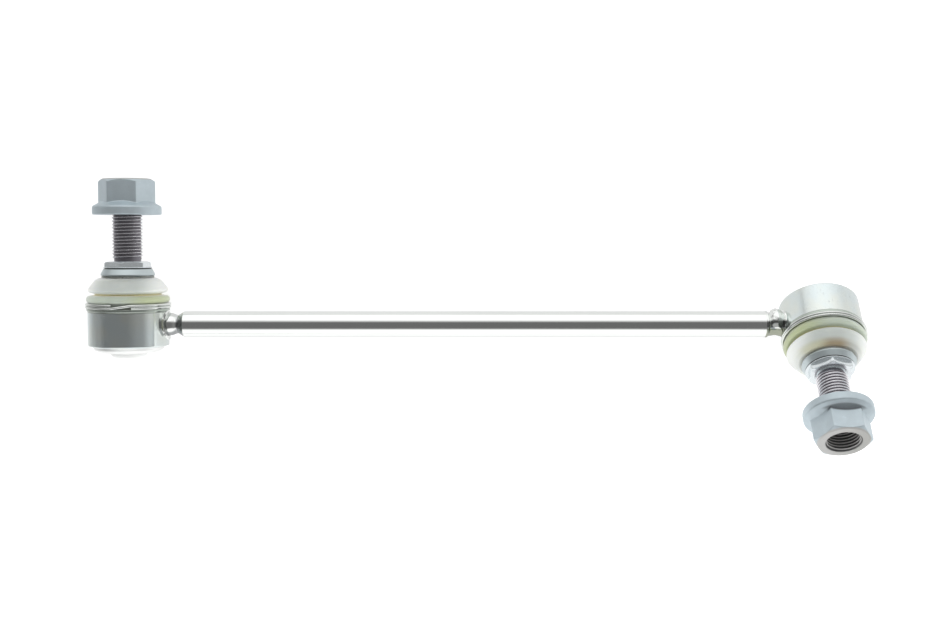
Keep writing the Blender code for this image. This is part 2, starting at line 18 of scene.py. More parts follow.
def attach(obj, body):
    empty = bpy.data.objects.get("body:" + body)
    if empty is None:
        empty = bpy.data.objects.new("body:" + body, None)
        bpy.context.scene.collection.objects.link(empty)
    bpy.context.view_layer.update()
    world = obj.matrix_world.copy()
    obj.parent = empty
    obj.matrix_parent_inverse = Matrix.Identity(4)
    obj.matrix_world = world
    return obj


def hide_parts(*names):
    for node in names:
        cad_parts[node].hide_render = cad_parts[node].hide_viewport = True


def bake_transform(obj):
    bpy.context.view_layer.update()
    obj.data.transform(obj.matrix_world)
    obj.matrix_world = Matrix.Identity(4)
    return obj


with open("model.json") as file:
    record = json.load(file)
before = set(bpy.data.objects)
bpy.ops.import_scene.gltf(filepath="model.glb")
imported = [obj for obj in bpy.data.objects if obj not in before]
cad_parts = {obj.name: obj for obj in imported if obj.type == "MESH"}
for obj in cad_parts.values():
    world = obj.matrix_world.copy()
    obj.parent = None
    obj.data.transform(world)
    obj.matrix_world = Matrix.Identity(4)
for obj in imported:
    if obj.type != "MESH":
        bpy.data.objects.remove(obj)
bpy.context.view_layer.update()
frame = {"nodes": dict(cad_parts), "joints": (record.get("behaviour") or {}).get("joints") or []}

bl_info = {
    "name": "Stabilizer link looks",
    "version": (1, 0, 0),
    "blender": (4, 5, 0),
    "location": "3D View > Sidebar > Link",
    "description": "Builds the finished pieces of a stabilizer link round its packed model",
    "category": "Object",
}

JOINTS = {joint["name"]: joint for joint in frame["joints"]}
ENDS = ("a", "b")

MM = 0.001
MERGE = 0.002 * MM
THREAD_MERGE = 0.02 * MM
TURN_STEPS = 96
FINE_STEPS = 128
WELD_STEPS = 72
THREAD_STEPS = 48
WIRE_SIDES = 12
CORNER_SEGMENTS = 4
BALL_STEPS = 24
BAR_BALL_STEPS = 16
SHARP_ANGLE = math.radians(32)
STRAIGHT = math.radians(88)      # from here on, a corner isn't rounded
SIDE_SHARE = 0.48                # the most of a side that one corner's rounding takes
SAME_ANGLE = 0.01
UPRIGHT = 0.4                    # share of its length that an upright edge climbs
HALF_SIDE = math.pi / 6          # half of the angle that a hexagon's side takes

# How much lower the rim, the clamp wire and the boot's foot are at each end.
BAND_SINK = {"a": 0.0, "b": 0.35 * MM}


def size(name, description, default):
    """A length that a user can change. The default is in millimetres."""
    return FloatProperty(
        name=name, description=description, default=default * MM, unit="LENGTH", precision=5
    )


def colour(name, description, default):
    """A colour that a user can change."""
    return FloatVectorProperty(
        name=name, description=description, default=default, subtype="COLOR", min=0.0, max=1.0
    )


class BarSizes(bpy.types.PropertyGroup):
    """The bar and its upset ends, measured from the ball joint's centre."""

    diameter: size("Diameter", "Across the bar", 10.0)
    ball_diameter: size("Ball diameter", "Across the upset ball at each end", 8.6)
    ball_place: size("Ball place", "From the joint's centre to the upset ball's centre", 16.4)
    ball_shift: size("Ball shift", "How much nearer to the housing the ball is at end A", 0.5)
    ball_lumps: size("Ball lumps", "How uneven the upset ball is", 0.12)
    neck_diameter: size("Neck", "Across the neck behind the upset ball", 7.2)
    neck_place: size("Neck end", "From the joint's centre to the neck's end", 19.4)
    chamfer_length: size("Chamfer", "Length of the taper from the neck to the bar", 2.1)
    edge_round: size("Edge round", "Rounding at the ends of the taper", 0.35)


class WeldSizes(bpy.types.PropertyGroup):
    """The flash that the weld pressed out between bar and housing."""

    radius: size("Radius", "From the bar's axis to the middle of the flash", 4.8)
    spread: size("Spread", "How much wider the flash lies at end A", 0.6)
    width: size("Width", "Across the flash", 1.1)
    height: size("Height", "How far the flash stands off the housing", 0.6)
    run_radius: size("Run radius", "Radius of the metal that ran over the ball at end B", 4.4)
    run_height: size("Run height", "Height of that metal off the housing", 5.6)
    run_shift: size("Run shift", "How far that metal lies to one side", 2.5)
    sleeve_radius: size("Sleeve radius", "Radius of the metal that closes round the bar's end there", 5.15)
    sleeve_height: size("Sleeve height", "How far it reaches along the bar from the housing", 6.6)
    roughness: size("Roughness", "How uneven the flash is", 0.5)


class CupSizes(bpy.types.PropertyGroup):
    """The housing of a ball joint, in heights along the stud from the ball's centre."""

    radius: size("Radius", "Outer radius of the housing", 15.3)
    rim_radius: size("Rim radius", "Outer radius of the rim under the wire ring", 15.7)
    rim_top: size("Rim top", "Height of the rim's upper face", 6.15)
    rim_bottom: size("Rim bottom", "Height where the rim's underside meets the wall", 5.1)
    rim_edge: size("Rim edge", "Thickness of the rim at its outer side", 0.85)
    neck_radius: size("Neck radius", "Radius of the neck that the boot's bead sits on", 12.6)
    neck_top: size("Neck top", "Height of the neck's upper face", 8.2)
    bore: size("Bore", "Radius of the bore for the ball's shell", 11.0)
    throat: size("Throat", "Radius of the opening over the shell", 8.0)
    flare: size("Flare", "Radius of the opening at the neck's top", 10.8)
    ledge: size("Ledge", "Depth of the ledge that the cover rests against", 7.45)
    bottom: size("Bottom", "Depth of the shoulder above the rolled lip", 8.2)
    lip_bottom: size("Lip bottom", "Depth of the rolled lip's outer side", 11.0)
    lip_radius: size("Lip radius", "Inner radius of the rolled lip", 9.3)
    lip_thickness: size("Lip thickness", "Thickness of the rolled lip", 1.5)
    roll_radius: size("Roll radius", "Outer radius where the lip starts to roll in", 13.5)
    cover_radius: size("Cover radius", "Outer radius of the cover", 12.0)
    cover_thickness: size("Cover thickness", "Thickness of the cover", 1.45)
    dome_radius: size("Dome radius", "Radius of the cover's dome", 6.9)
    dome_height: size("Dome height", "Height of the cover's dome", 3.6)
    dome_round: size("Dome round", "Rounding of the dome's edge", 1.5)


class StudSizes(bpy.types.PropertyGroup):
    """The ball stud, in heights along it from the ball's centre."""

    ball_radius: size("Ball radius", "Radius of the ball", 8.0)
    ball_flat: size("Ball flat", "Radius of the flat under the ball", 3.5)
    neck_radius: size("Neck radius", "Radius of the neck over the ball", 4.7)
    neck_end: size("Neck end", "Height where the neck starts to widen", 8.2)
    shank_radius: size("Shank radius", "Radius of the shank inside the boot", 5.4)
    shank_middle: size("Shank middle", "Height where the shank has that radius", 12.0)
    seat_radius: size("Boot seat radius", "Radius of the seat for the boot's lip", 8.0)
    seat_bottom: size("Boot seat bottom", "Height of the seat's lower end", 16.8)
    cone_bottom: size("Cone bottom", "Height of the cone's lower face", 18.8)
    cone_radius: size("Cone radius", "Radius of the cone's lower edge", 10.25)
    cone_top: size("Cone top", "Height of the cone's upper end", 21.3)
    cone_top_radius: size("Cone top radius", "Radius of the cone's upper end", 9.2)
    collar_foot: size("Collar foot", "Height of the collar's round foot", 22.0)
    collar_foot_radius: size("Collar foot radius", "Radius of the collar's round foot", 9.3)
    collar_flats: size("Collar flats", "Across the flats of the hexagon collar", 15.4)
    collar_crown: size("Collar crown", "Radius of the collar's flat seat", 7.5)
    collar_corner: size("Collar corner", "Radius where the collar's corner chamfer starts", 8.2)
    collar_seat: size("Collar seat", "Height of the collar's seat", 24.1)
    end: size("End", "Height of the stud's end", 47.0)
    thread_radius: size("Thread radius", "Radius over the thread's crests", 5.9)
    thread_depth: size("Thread depth", "From crest to root", 0.74)
    pitch: size("Pitch", "Distance from crest to crest", 1.25)
    relief_radius: size("Relief radius", "Radius of the plain part at the collar", 5.1)
    relief_length: size("Relief length", "Length of that plain part", 0.9)
    chamfer: size("Chamfer", "Chamfer at the stud's end", 1.0)


class NutSizes(bpy.types.PropertyGroup):
    """The flange nut, in heights from its bearing face."""

    flats: size("Flats", "Across the flats", 19.0)
    height: size("Height", "Height of the nut", 13.8)
    crown: size("Crown", "Radius where the corner chamfer starts", 9.0)
    flange_radius: size("Flange radius", "Radius of the flange", 13.0)
    flange_rim: size("Flange rim", "Thickness of the flange at its rim", 3.2)
    flange_rise: size("Flange rise", "Rise of the flange's cone per millimetre of radius", 0.56)
    rim_round: size("Rim round", "Rounding of the flange's rim", 0.9)
    edge_round: size("Edge round", "Rounding of the hexagon's edges", 0.28)
    bore: size("Bore", "Radius of the bore over the thread's roots", 6.5)
    countersink: size("Countersink", "Radius of the countersink at each face", 6.75)
    thread_depth: size("Thread depth", "From root to crest inside the bore", 0.54)


class BootSizes(bpy.types.PropertyGroup):
    """The boot, in heights along the stud from the ball's centre."""

    wall: size("Wall", "Thickness of the rubber", 1.1)
    bead_radius: size("Bead radius", "Outer radius of the bead under the wire ring", 14.9)
    bead_bottom: size("Bead bottom", "Height of the bead's lower face", 6.2)
    lower_radius: size("Lower fold", "Radius of the lower fold", 15.8)
    lower_height: size("Lower fold height", "Height of the lower fold's middle", 9.75)
    waist_radius: size("Waist", "Radius of the groove between the folds", 12.5)
    waist_height: size("Waist height", "Height of that groove", 11.55)
    upper_radius: size("Upper fold", "Radius of the upper fold", 15.05)
    upper_height: size("Upper fold height", "Height of the upper fold's middle", 13.4)
    shelf_radius: size("Shelf radius", "Radius of the shelf under the upper ring", 10.95)
    shelf_height: size("Shelf height", "Height of that shelf", 17.75)
    lip_radius: size("Lip radius", "Inner radius of the lip on the stud", 8.3)
    lip_wall: size("Lip wall", "Thickness of the lip", 0.75)
    lip_top: size("Lip top", "Height of the lip's upper end", 18.45)


class WireSizes(bpy.types.PropertyGroup):
    """The two wire rings that hold the boot."""

    clamp_wire: size("Clamp wire", "Diameter of the wire on the housing", 1.0)
    clamp_radius: size("Clamp radius", "Radius of that ring's middle", 15.7)
    clamp_height: size("Clamp height", "Height of its lower turn's middle", 6.7)
    clamp_pitch: size("Clamp pitch", "Rise from its lower to its upper turn", 1.04)
    lip_wire: size("Lip wire", "Diameter of the wire on the stud", 0.4)
    lip_radius: size("Lip ring radius", "Radius of that ring's middle", 9.75)
    lip_height: size("Lip ring height", "Height of its lower turn's middle", 18.05)
    lip_pitch: size("Lip ring pitch", "Rise from its lower to its upper turn", 0.42)


class LinkColours(bpy.types.PropertyGroup):
    """Base colours of the finishes."""

    bar: colour("Bar", "Bright drawn steel", (0.86, 0.88, 0.86))
    cup: colour("Housing", "Bright zinc on turned steel", (0.71, 0.78, 0.785))
    cup_tint: colour("Housing tint", "The tint that drifts over the zinc", (0.75, 0.79, 0.75))
    stud: colour("Stud", "Pale blue-grey zinc", (0.56, 0.63, 0.645))
    # Painted shade for the thread's roots and a painted highlight for its crests.
    thread_root: colour("Thread root", "Dark oiled roots", (0.21, 0.20, 0.22))
    thread_crest: colour("Thread crest", "Rubbed crests", (0.85, 0.84, 0.87))
    nut: colour("Nut", "Matte blue-grey zinc", (0.56, 0.64, 0.68))
    rubber_upper: colour("Upper fold", "Milky rubber", (0.57, 0.61, 0.58))
    rubber_lower: colour("Lower fold", "Greener rubber in the lower fold", (0.49, 0.55, 0.46))
    rubber_groove: colour("Groove", "Stained groove between the folds", (0.60, 0.56, 0.33))
    spring: colour("Spring wire", "Bright spring wire", (0.82, 0.85, 0.82))
    plastic: colour("Bearing plastic", "Natural acetal", (0.83, 0.82, 0.76))


def joint_place(end):
    """The frame of one ball joint: X along the bar, Z along the stud."""
    across = Vector(JOINTS["swing_" + end]["axis"]).normalized()
    along = Vector(JOINTS["stud_turn_" + end]["axis"]).normalized()
    place = Matrix((across, along.cross(across), along)).transposed().to_4x4()
    place.translation = Vector(JOINTS["swing_" + end]["pos_m"])
    return place


def bar_place(end):
    """The frame of one end of the bar: Z from the joint's centre to the bar's middle, X along the stud."""
    place = joint_place(end)
    stud = place.to_3x3().col[2].copy()
    inwards = place.to_3x3().col[0] * (1 if end == "a" else -1)
    turned_place = Matrix((stud, inwards.cross(stud), inwards)).transposed().to_4x4()
    turned_place.translation = place.translation
    return turned_place


def rounded(corners, segments=CORNER_SEGMENTS):
    """An outline's points, where each corner is (radius, height, rounding)."""
    points = [Vector(corners[0][:2])]
    for before, here, after in zip(corners, corners[1:], corners[2:]):
        corner = Vector(here[:2])
        back = Vector(before[:2]) - corner
        ahead = Vector(after[:2]) - corner
        half = back.angle(ahead) / 2
        if here[2] <= 0 or half > STRAIGHT:
            points.append(corner)
            continue
        reach = min(here[2] / math.tan(half), SIDE_SHARE * back.length, SIDE_SHARE * ahead.length)
        centre = corner + (back.normalized() + ahead.normalized()).normalized() * (
            reach / math.cos(half)
        )
        start = corner + back.normalized() * reach - centre
        stop = corner + ahead.normalized() * reach - centre
        radius = start.length
        points += [centre + radius * start.slerp(stop, i / segments) for i in range(segments + 1)]
    points.append(Vector(corners[-1][:2]))
    return points


def share(value, start, stop):
    """How far a value is on the way from start to stop, from 0 to 1."""
    return min(max((value - start) / (stop - start), 0.0), 1.0)


def profile(shape, points, turn, closed=False):
    """The vertices and edges of an outline, drawn in the upright plane at the angle turn."""
    corners = [shape.verts.new((point[0], 0.0, point[1])) for point in points]
    edges = [shape.edges.new(pair) for pair in zip(corners, corners[1:])]
    if closed:
        edges.append(shape.edges.new((corners[-1], corners[0])))
    bmesh.ops.rotate(shape, verts=corners, cent=(0, 0, 0), matrix=Matrix.Rotation(turn, 3, "Z"))
    return corners + edges


def spin(shape, geom, angle, steps, rise=0.0, merge=False):
    """Spins geometry about Z and lets it climb by rise at each step. Gives back its last copy."""
    made = bmesh.ops.spin(
        shape, geom=geom, cent=(0, 0, 0), axis=(0, 0, 1), dvec=(0, 0, rise),
        angle=angle, steps=steps, use_merge=merge,
    )
    return made["geom_last"]


def turned(points, steps=TURN_STEPS, start=0.0, closed=False):
    """A bmesh turned about Z from an outline in the plane at the angle start."""
    shape = bmesh.new()
    spin(shape, profile(shape, points, start, closed), math.tau, steps, merge=True)
    bmesh.ops.remove_doubles(shape, verts=shape.verts, dist=MERGE)
    return shape


def threaded(shape, crest, root, pitch, low, high, trim, steps, start=0.0):
    """Adds a helical thread's wall about Z, from low to high. trim(radius, height) is the lathe's
    last cut, which also sets the plain ring at each end."""
    valley = pitch / 4
    middle = (pitch + valley) / 2
    outline = [
        (root, 0.0),
        (root, valley),
        (crest, middle - pitch / 16),
        (crest, middle + pitch / 16),
        (root, pitch),
    ]
    first = low - 2 * pitch
    known = set(shape.verts)
    edge = profile(shape, [(radius, first + height) for radius, height in outline], start)
    spin(shape, edge, math.tau, steps, pitch / steps)
    one_turn = [face for face in shape.faces if not known.intersection(face.verts)]
    for turn in range(1, math.ceil((high - low) / pitch) + 3):
        copy = bmesh.ops.duplicate(shape, geom=one_turn)["geom"]
        moved = [item for item in copy if isinstance(item, bmesh.types.BMVert)]
        bmesh.ops.translate(shape, verts=moved, vec=(0, 0, turn * pitch))
    wall = [vert for vert in shape.verts if vert not in known]
    for vert in wall:
        height = min(max(vert.co.z, low), high)
        step = round((math.atan2(vert.co.y, vert.co.x) - start) * steps / math.tau)
        angle = start + step * math.tau / steps
        radius = trim(math.hypot(vert.co.x, vert.co.y), height)
        vert.co = (radius * math.cos(angle), radius * math.sin(angle), height)
    bmesh.ops.remove_doubles(shape, verts=wall, dist=THREAD_MERGE)


def fill_rings(shape):
    """Closes every open ring with one face."""
    rims = [edge for edge in shape.edges if edge.is_boundary]
    bmesh.ops.holes_fill(shape, edges=rims, sides=0)


def plane_flats(shape, flats, turn, blank, crown=None, foot=None):
    """Planes a turned blank of radius blank to a hexagon. crown is (top, radius) of the corner
    chamfer and foot is a function that gives the height where a radius meets what is below."""
    chamfer_slope = math.tan(math.radians(30))
    rings = {vert: vert.co.z for vert in shape.verts if abs(vert.co.xy.length - blank) < MERGE}
    highest = max(rings.values())
    for vert, height in rings.items():
        angle = math.atan2(vert.co.y, vert.co.x) - turn
        within = (angle + HALF_SIDE) % (2 * HALF_SIDE) - HALF_SIDE
        radius = flats / 2 / math.cos(within)
        if crown and highest - height < MERGE:
            height = crown[0] - max(radius - crown[1], 0) * chamfer_slope
        elif foot and height < highest:
            height = foot(radius)
        around = vert.co.xy.normalized() * radius
        vert.co = (around.x, around.y, height)
    return set(rings)


def soften(shape, verts, turn, amount, segments=2):
    """Bevels a hexagon's edges: its corners and its crown and foot rings."""
    chosen = []
    for edge in shape.edges:
        ends = edge.verts
        if ends[0] not in verts or ends[1] not in verts:
            continue
        upright = abs(ends[0].co.z - ends[1].co.z) > UPRIGHT * edge.calc_length()
        angle = math.atan2(ends[0].co.y, ends[0].co.x) - turn
        corner = abs(angle % (2 * HALF_SIDE) - HALF_SIDE) < SAME_ANGLE
        if not upright or corner:
            chosen.append(edge)
    bmesh.ops.bevel(
        shape, geom=chosen, offset=amount, offset_type="OFFSET", affect="EDGES",
        segments=segments, profile=0.5, material=-1, clamp_overlap=True,
    )


def coil(ring_radius, wire_radius, stages):
    """A round wire about Z from the angle zero. stages are (angle, rise, steps), one after another."""
    shape = bmesh.new()
    made = bmesh.ops.create_circle(shape, cap_ends=False, segments=WIRE_SIDES, radius=wire_radius)
    verts = made["verts"]
    upright = Matrix.Rotation(math.pi / 2, 3, "X")
    bmesh.ops.rotate(shape, verts=verts, cent=(0, 0, 0), matrix=upright)
    bmesh.ops.translate(shape, verts=verts, vec=(ring_radius, 0, 0))
    front = list(verts) + list(shape.edges)
    for angle, rise, steps in stages:
        last = spin(shape, front, angle, steps, rise / steps)
        front = [item for item in last if not isinstance(item, bmesh.types.BMFace)]
    fill_rings(shape)
    return shape


def to_mesh(shape, name, place):
    """Closes the shape's seams, turns its faces outwards and puts it in its place."""
    bmesh.ops.remove_doubles(shape, verts=shape.verts, dist=MERGE)
    bmesh.ops.recalc_face_normals(shape, faces=shape.faces)
    mesh = bpy.data.meshes.new(name)
    shape.to_mesh(mesh)
    shape.free()
    places = [0.0] * (3 * len(mesh.vertices))
    mesh.vertices.foreach_get("co", places)
    local = mesh.attributes.new("local", "FLOAT_VECTOR", "POINT")
    local.data.foreach_set("vector", [value / MM for value in places])
    mesh.transform(place)
    mesh.shade_smooth()
    mesh.set_sharp_from_angle(angle=SHARP_ANGLE)
    return mesh


def add_piece(context, shape, stem, end, material, node_stem, place=None):
    """A new visible piece that stands for the CAD node at the same end. Its shape was drawn in the
    frame place, or else in the joint's frame."""
    name = stem + end
    mesh = to_mesh(shape, name, joint_place(end) if place is None else place)
    piece = bpy.data.objects.new(name, mesh)
    context.scene.collection.objects.link(piece)
    piece.data.materials.append(material)
    even = piece.modifiers.new("even_shading", "WEIGHTED_NORMAL")
    even.keep_sharp = True
    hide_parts(node_stem + end)
    return piece


def math_method(operation):
    """A method of Value that adds a math node."""
    return lambda value, other=0.0: value.tree.math(operation, value, other)


class Value:
    """A number or colour in a node tree. Python's operators on it add math nodes."""

    def __init__(self, tree, socket):
        self.tree = tree
        self.socket = socket

    __add__ = math_method("ADD")
    __sub__ = math_method("SUBTRACT")
    __mul__ = math_method("MULTIPLY")
    __pow__ = math_method("POWER")
    __abs__ = math_method("ABSOLUTE")

    def __rsub__(self, other):
        return self.tree.math("SUBTRACT", other, self)

    def ramp(self, low, high, to_low=0.0, to_high=1.0):
        """Maps it from one range to another, smoothly and with both ends held."""
        numbers = {0: self, 1: low, 2: high, 3: to_low, 4: to_high}
        return self.tree.add("MapRange", numbers, interpolation_type="SMOOTHSTEP")

    def cast(self, low, high):
        """Maps noise, most of which lies from 0.3 to 0.7, to a range."""
        return self.ramp(0.3, 0.7, low, high)


class Tree:
    """The nodes of a material or world."""

    def __init__(self, owner):
        owner.use_nodes = True
        self.nodes = owner.node_tree.nodes
        self.links = owner.node_tree.links

    def feed(self, socket, value):
        """Links a Value to a socket, or sets the socket to a constant."""
        if isinstance(value, Value):
            self.links.new(value.socket, socket)
        elif socket.type == "RGBA":
            socket.default_value = (*value, 1.0)
        else:
            socket.default_value = value

    def add(self, kind, inputs=None, output=0, **settings):
        """A new node's output. Inputs are named or counted, and settings are the node's own."""
        node = self.nodes.new("ShaderNode" + kind)
        for name, value in settings.items():
            setattr(node, name, value)
        for key, value in (inputs or {}).items():
            self.feed(node.inputs[key], value)
        return Value(self, node.outputs[output])

    def math(self, operation, first, second=0.0):
        """A math node. Each input is a Value or a number."""
        return self.add("Math", {0: first, 1: second}, operation=operation)

    def split(self, vector):
        """The X, Y and Z of a vector."""
        parts = self.add("SeparateXYZ", {0: vector}).socket.node
        return [Value(self, output) for output in parts.outputs]

    def show(self, kind, value):
        """Adds the output node of a tree that was cleared."""
        self.feed(self.nodes.new("ShaderNode" + kind).inputs["Surface"], value)


class Finish(Tree):
    """A material on one Principled shader. Patterns read the piece's local attribute, in mm. A CAD
    node has no such attribute, so they read its object coordinates."""

    def __init__(self, name, metallic=0.0, roughness=0.4, on_cad=False, **constants):
        self.material = bpy.data.materials.new(name)
        super().__init__(self.material)
        self.shader = self.nodes["Principled BSDF"]
        self.shader.inputs["Metallic"].default_value = metallic
        self.shader.inputs["Roughness"].default_value = roughness
        for socket, value in constants.items():
            self.shader.inputs[socket.replace("_", " ")].default_value = value
        if on_cad:
            metres = self.add("TexCoord", output="Object")
            self.place = self.add("VectorMath", {0: metres, "Scale": 1 / MM}, operation="SCALE")
        else:
            self.place = self.add("Attribute", output="Vector", attribute_name="local")
        self.x, self.y, self.z = self.split(self.place)
        flat = self.add("VectorMath", {0: self.place, 1: (1, 1, 0)}, operation="MULTIPLY")
        self.from_axis = self.add("VectorMath", {0: flat}, "Value", operation="LENGTH")

    def noise(self, scale, detail=3.0, stretch=(1, 1, 1), roughness=0.55):
        """Noise from 0 to 1. scale is per millimetre, and stretch multiplies it on each axis."""
        spot = self.add("Mapping", {"Vector": self.place, "Scale": stretch})
        inputs = {"Vector": spot, "Scale": scale, "Detail": detail, "Roughness": roughness}
        return self.add("TexNoise", inputs, "Fac")

    def mix(self, factor, first, second):
        """A colour between two, each a Value or a constant."""
        return self.add("Mix", {0: factor, 6: first, 7: second}, 2, data_type="RGBA")

    def vary(self, factor, base, darker, lighter):
        """A colour that drifts between a darker and a lighter shade of its base."""
        return self.mix(factor, shade(base, darker), shade(base, lighter))

    def done(self, colour, roughness, height, depth, strength=0.5):
        """The material. Its bump's height runs from 0 to 1 over a depth in millimetres."""
        bump = self.add("Bump", {"Strength": strength, "Distance": depth * MM, "Height": height})
        for name, value in (("Base Color", colour), ("Roughness", roughness), ("Normal", bump)):
            self.feed(self.shader.inputs[name], value)
        return self.material


def shade(base, factor):
    """A colour made lighter or darker by a factor."""
    return tuple(min(channel * factor, 1.0) for channel in base)


def bar_finish(colours):
    """Bright drawn bar: long fine draw lines and a faint drift of tint, with painted shade in each neck
    and in the crevice where each ball meets its weld. Places are in millimetres from the bar's middle."""
    finish = Finish("bright_drawn_bar", metallic=1.0)
    lines = finish.noise(3.0, 4.0, (1, 1, 0.02))
    steel = finish.vary(finish.noise(0.03, 2.0), colours.bar, 0.96, 1.03)
    place = abs(finish.z)
    from_end = place + finish.noise(0.6, 3.0) * 0.6
    # Painted shade in each neck's hollow and in the crevice round each ball, fainter on one side.
    neck = from_end.ramp(112.1, 112.6) * from_end.ramp(115.2, 114.7)
    ball_centre = 117.1
    from_ball = finish.math("SQRT", (place - ball_centre) ** 2 + finish.y ** 2)
    edge = from_ball.ramp(2.6, 3.5) * place.ramp(114.4, 114.7)
    lower = finish.y.ramp(2.8, 1.2, 0.25, 1.0)
    burn_and_shade = finish.math("MAXIMUM", neck, edge) * lower * 0.8
    colour = finish.mix(burn_and_shade, steel, (0.16, 0.17, 0.18))
    return finish.done(colour, lines.cast(0.10, 0.17), lines, 0.003)


def cup_finish(colours, name, metallic, dull, sink=0.0):
    """Turned and zinc-plated steel: faint turning marks, short scratches along the stud's axis,
    drifting tints, a green tint on the rim, a painted shade line under the rim, and painted light that
    makes the lip and the cover nearly white. It is smoothest at the weld.
    sink is how much lower the rim is, in millimetres."""
    finish = Finish(name, metallic=metallic)
    marks = finish.noise(2.0, 4.0, (0.05, 0.05, 2.0))
    worn = finish.noise(1.3, 5.0, (1.6, 1.6, 0.3), 0.7).ramp(0.60, 0.70)
    drift = finish.noise(0.09, 2.0).ramp(0.35, 0.65)
    zinc = finish.mix(drift, colours.cup, colours.cup_tint)
    zinc = finish.mix(worn, zinc, shade(colours.cup, 0.72))
    height = finish.z + finish.noise(0.5, 3.0) * 0.5
    zinc = finish.mix(height.ramp(5.35 - sink, 5.65 - sink), zinc, (0.50, 0.55, 0.50))
    # Painted light: below the shoulder the zinc is painted nearly white, on the rolled lip and on the
    # cover.
    zinc = finish.mix(finish.z.ramp(-8.4, -8.9), zinc, (0.93, 0.94, 0.93))
    # Painted shade: a dark line under the rim's edge.
    from_line = abs(height - (5.25 - sink))
    colour = finish.mix(from_line.ramp(0.15, 0.45), (0.44, 0.48, 0.44), zinc)
    rolled = finish.z.ramp(-9.0, -8.3, 0.25, 0.0)
    at_weld = abs(finish.x).ramp(10.0, 13.0, 0.0, -0.07)
    cast = marks.cast(0.16 + dull, 0.22 + dull) + rolled + at_weld
    return finish.done(colour, cast, marks + worn * -2.5, 0.002)


def stud_finish(colours):
    """Zinc on the cone, smoother on the collar and painted paler there as painted light, with a painted
    shade line in the groove between them, and a thread painted dark in its roots as shade and bright on
    its crests as highlight."""
    finish = Finish("stud_zinc_and_thread", metallic=0.8)
    drift = finish.noise(0.35, 3.0)
    zinc = finish.vary(drift, colours.stud, 0.92, 1.06)
    # Painted light: the collar is painted paler.
    zinc = finish.mix(finish.z.ramp(21.7, 21.9), zinc, (0.78, 0.83, 0.85))
    # Painted shade: a dark line in the groove under the collar's foot.
    zinc = finish.mix(abs(finish.z - 21.5).ramp(0.15, 0.3), (0.08, 0.09, 0.09), zinc)
    # Painted shade in the thread's roots and a painted highlight on its crests.
    depth = finish.from_axis + finish.noise(0.9, 3.0, (0.6, 0.6, 1.6)) * 0.25
    steel = finish.mix(depth.ramp(5.4, 6.0), colours.thread_root, colours.thread_crest)
    on_thread = finish.z.ramp(24.05, 24.25)
    smoother = finish.z.ramp(21.7, 21.9, 0.0, 0.17) - on_thread * 0.03
    cast = drift.cast(0.32, 0.42) - smoother
    return finish.done(finish.mix(on_thread, zinc, steel), cast, finish.noise(1.2, 2.0), 0.004)


def nut_finish(colours):
    """Matte zinc with a fine crystalline grain and paler rubbed spots. The end face is bare and duller,
    painted lighter towards one side as painted light, the bore's thread roots are painted dark as shade,
    and a painted shade lies along the hexagon's foot on one side."""
    finish = Finish("matte_zinc_nut", metallic=0.75)
    grain = finish.noise(5.0, 4.0, roughness=0.7)
    rubbed = finish.noise(0.8, 5.0, roughness=0.7).ramp(0.62, 0.74)
    zinc = finish.vary(finish.noise(0.3, 3.0), colours.nut, 0.9, 1.1)
    zinc = finish.mix(rubbed, zinc, shade(colours.nut, 1.15))
    on_face = finish.z.ramp(13.2, 13.6)
    # Painted light: the end face is painted lighter towards one side.
    face = finish.mix(finish.x.ramp(-8.0, 8.0), (0.64, 0.64, 0.63), (0.56, 0.56, 0.54))
    zinc = finish.mix(on_face, zinc, face)
    # Painted shade along the hexagon's foot, on one side only.
    cone_slope, cone_top = 0.56, 10.9
    from_foot = abs(finish.z + finish.from_axis * cone_slope - cone_top)
    foot = from_foot.ramp(0.9, 0.1) * finish.y.ramp(7.0, 9.0) * finish.from_axis.ramp(11.6, 11.0)
    zinc = finish.mix(foot * 0.95, zinc, (0.11, 0.12, 0.13))
    # Painted shade: the roots of the bore's thread are painted dark.
    bore = finish.from_axis.ramp(6.0, 6.4)
    inside = finish.mix(bore, (0.62, 0.61, 0.60), (0.14, 0.14, 0.14))
    colour = finish.mix(finish.from_axis.ramp(6.5, 6.75), inside, zinc)
    cast = grain.cast(0.44, 0.56) + on_face * 0.2
    return finish.done(colour, cast, grain, 0.012, 0.6)


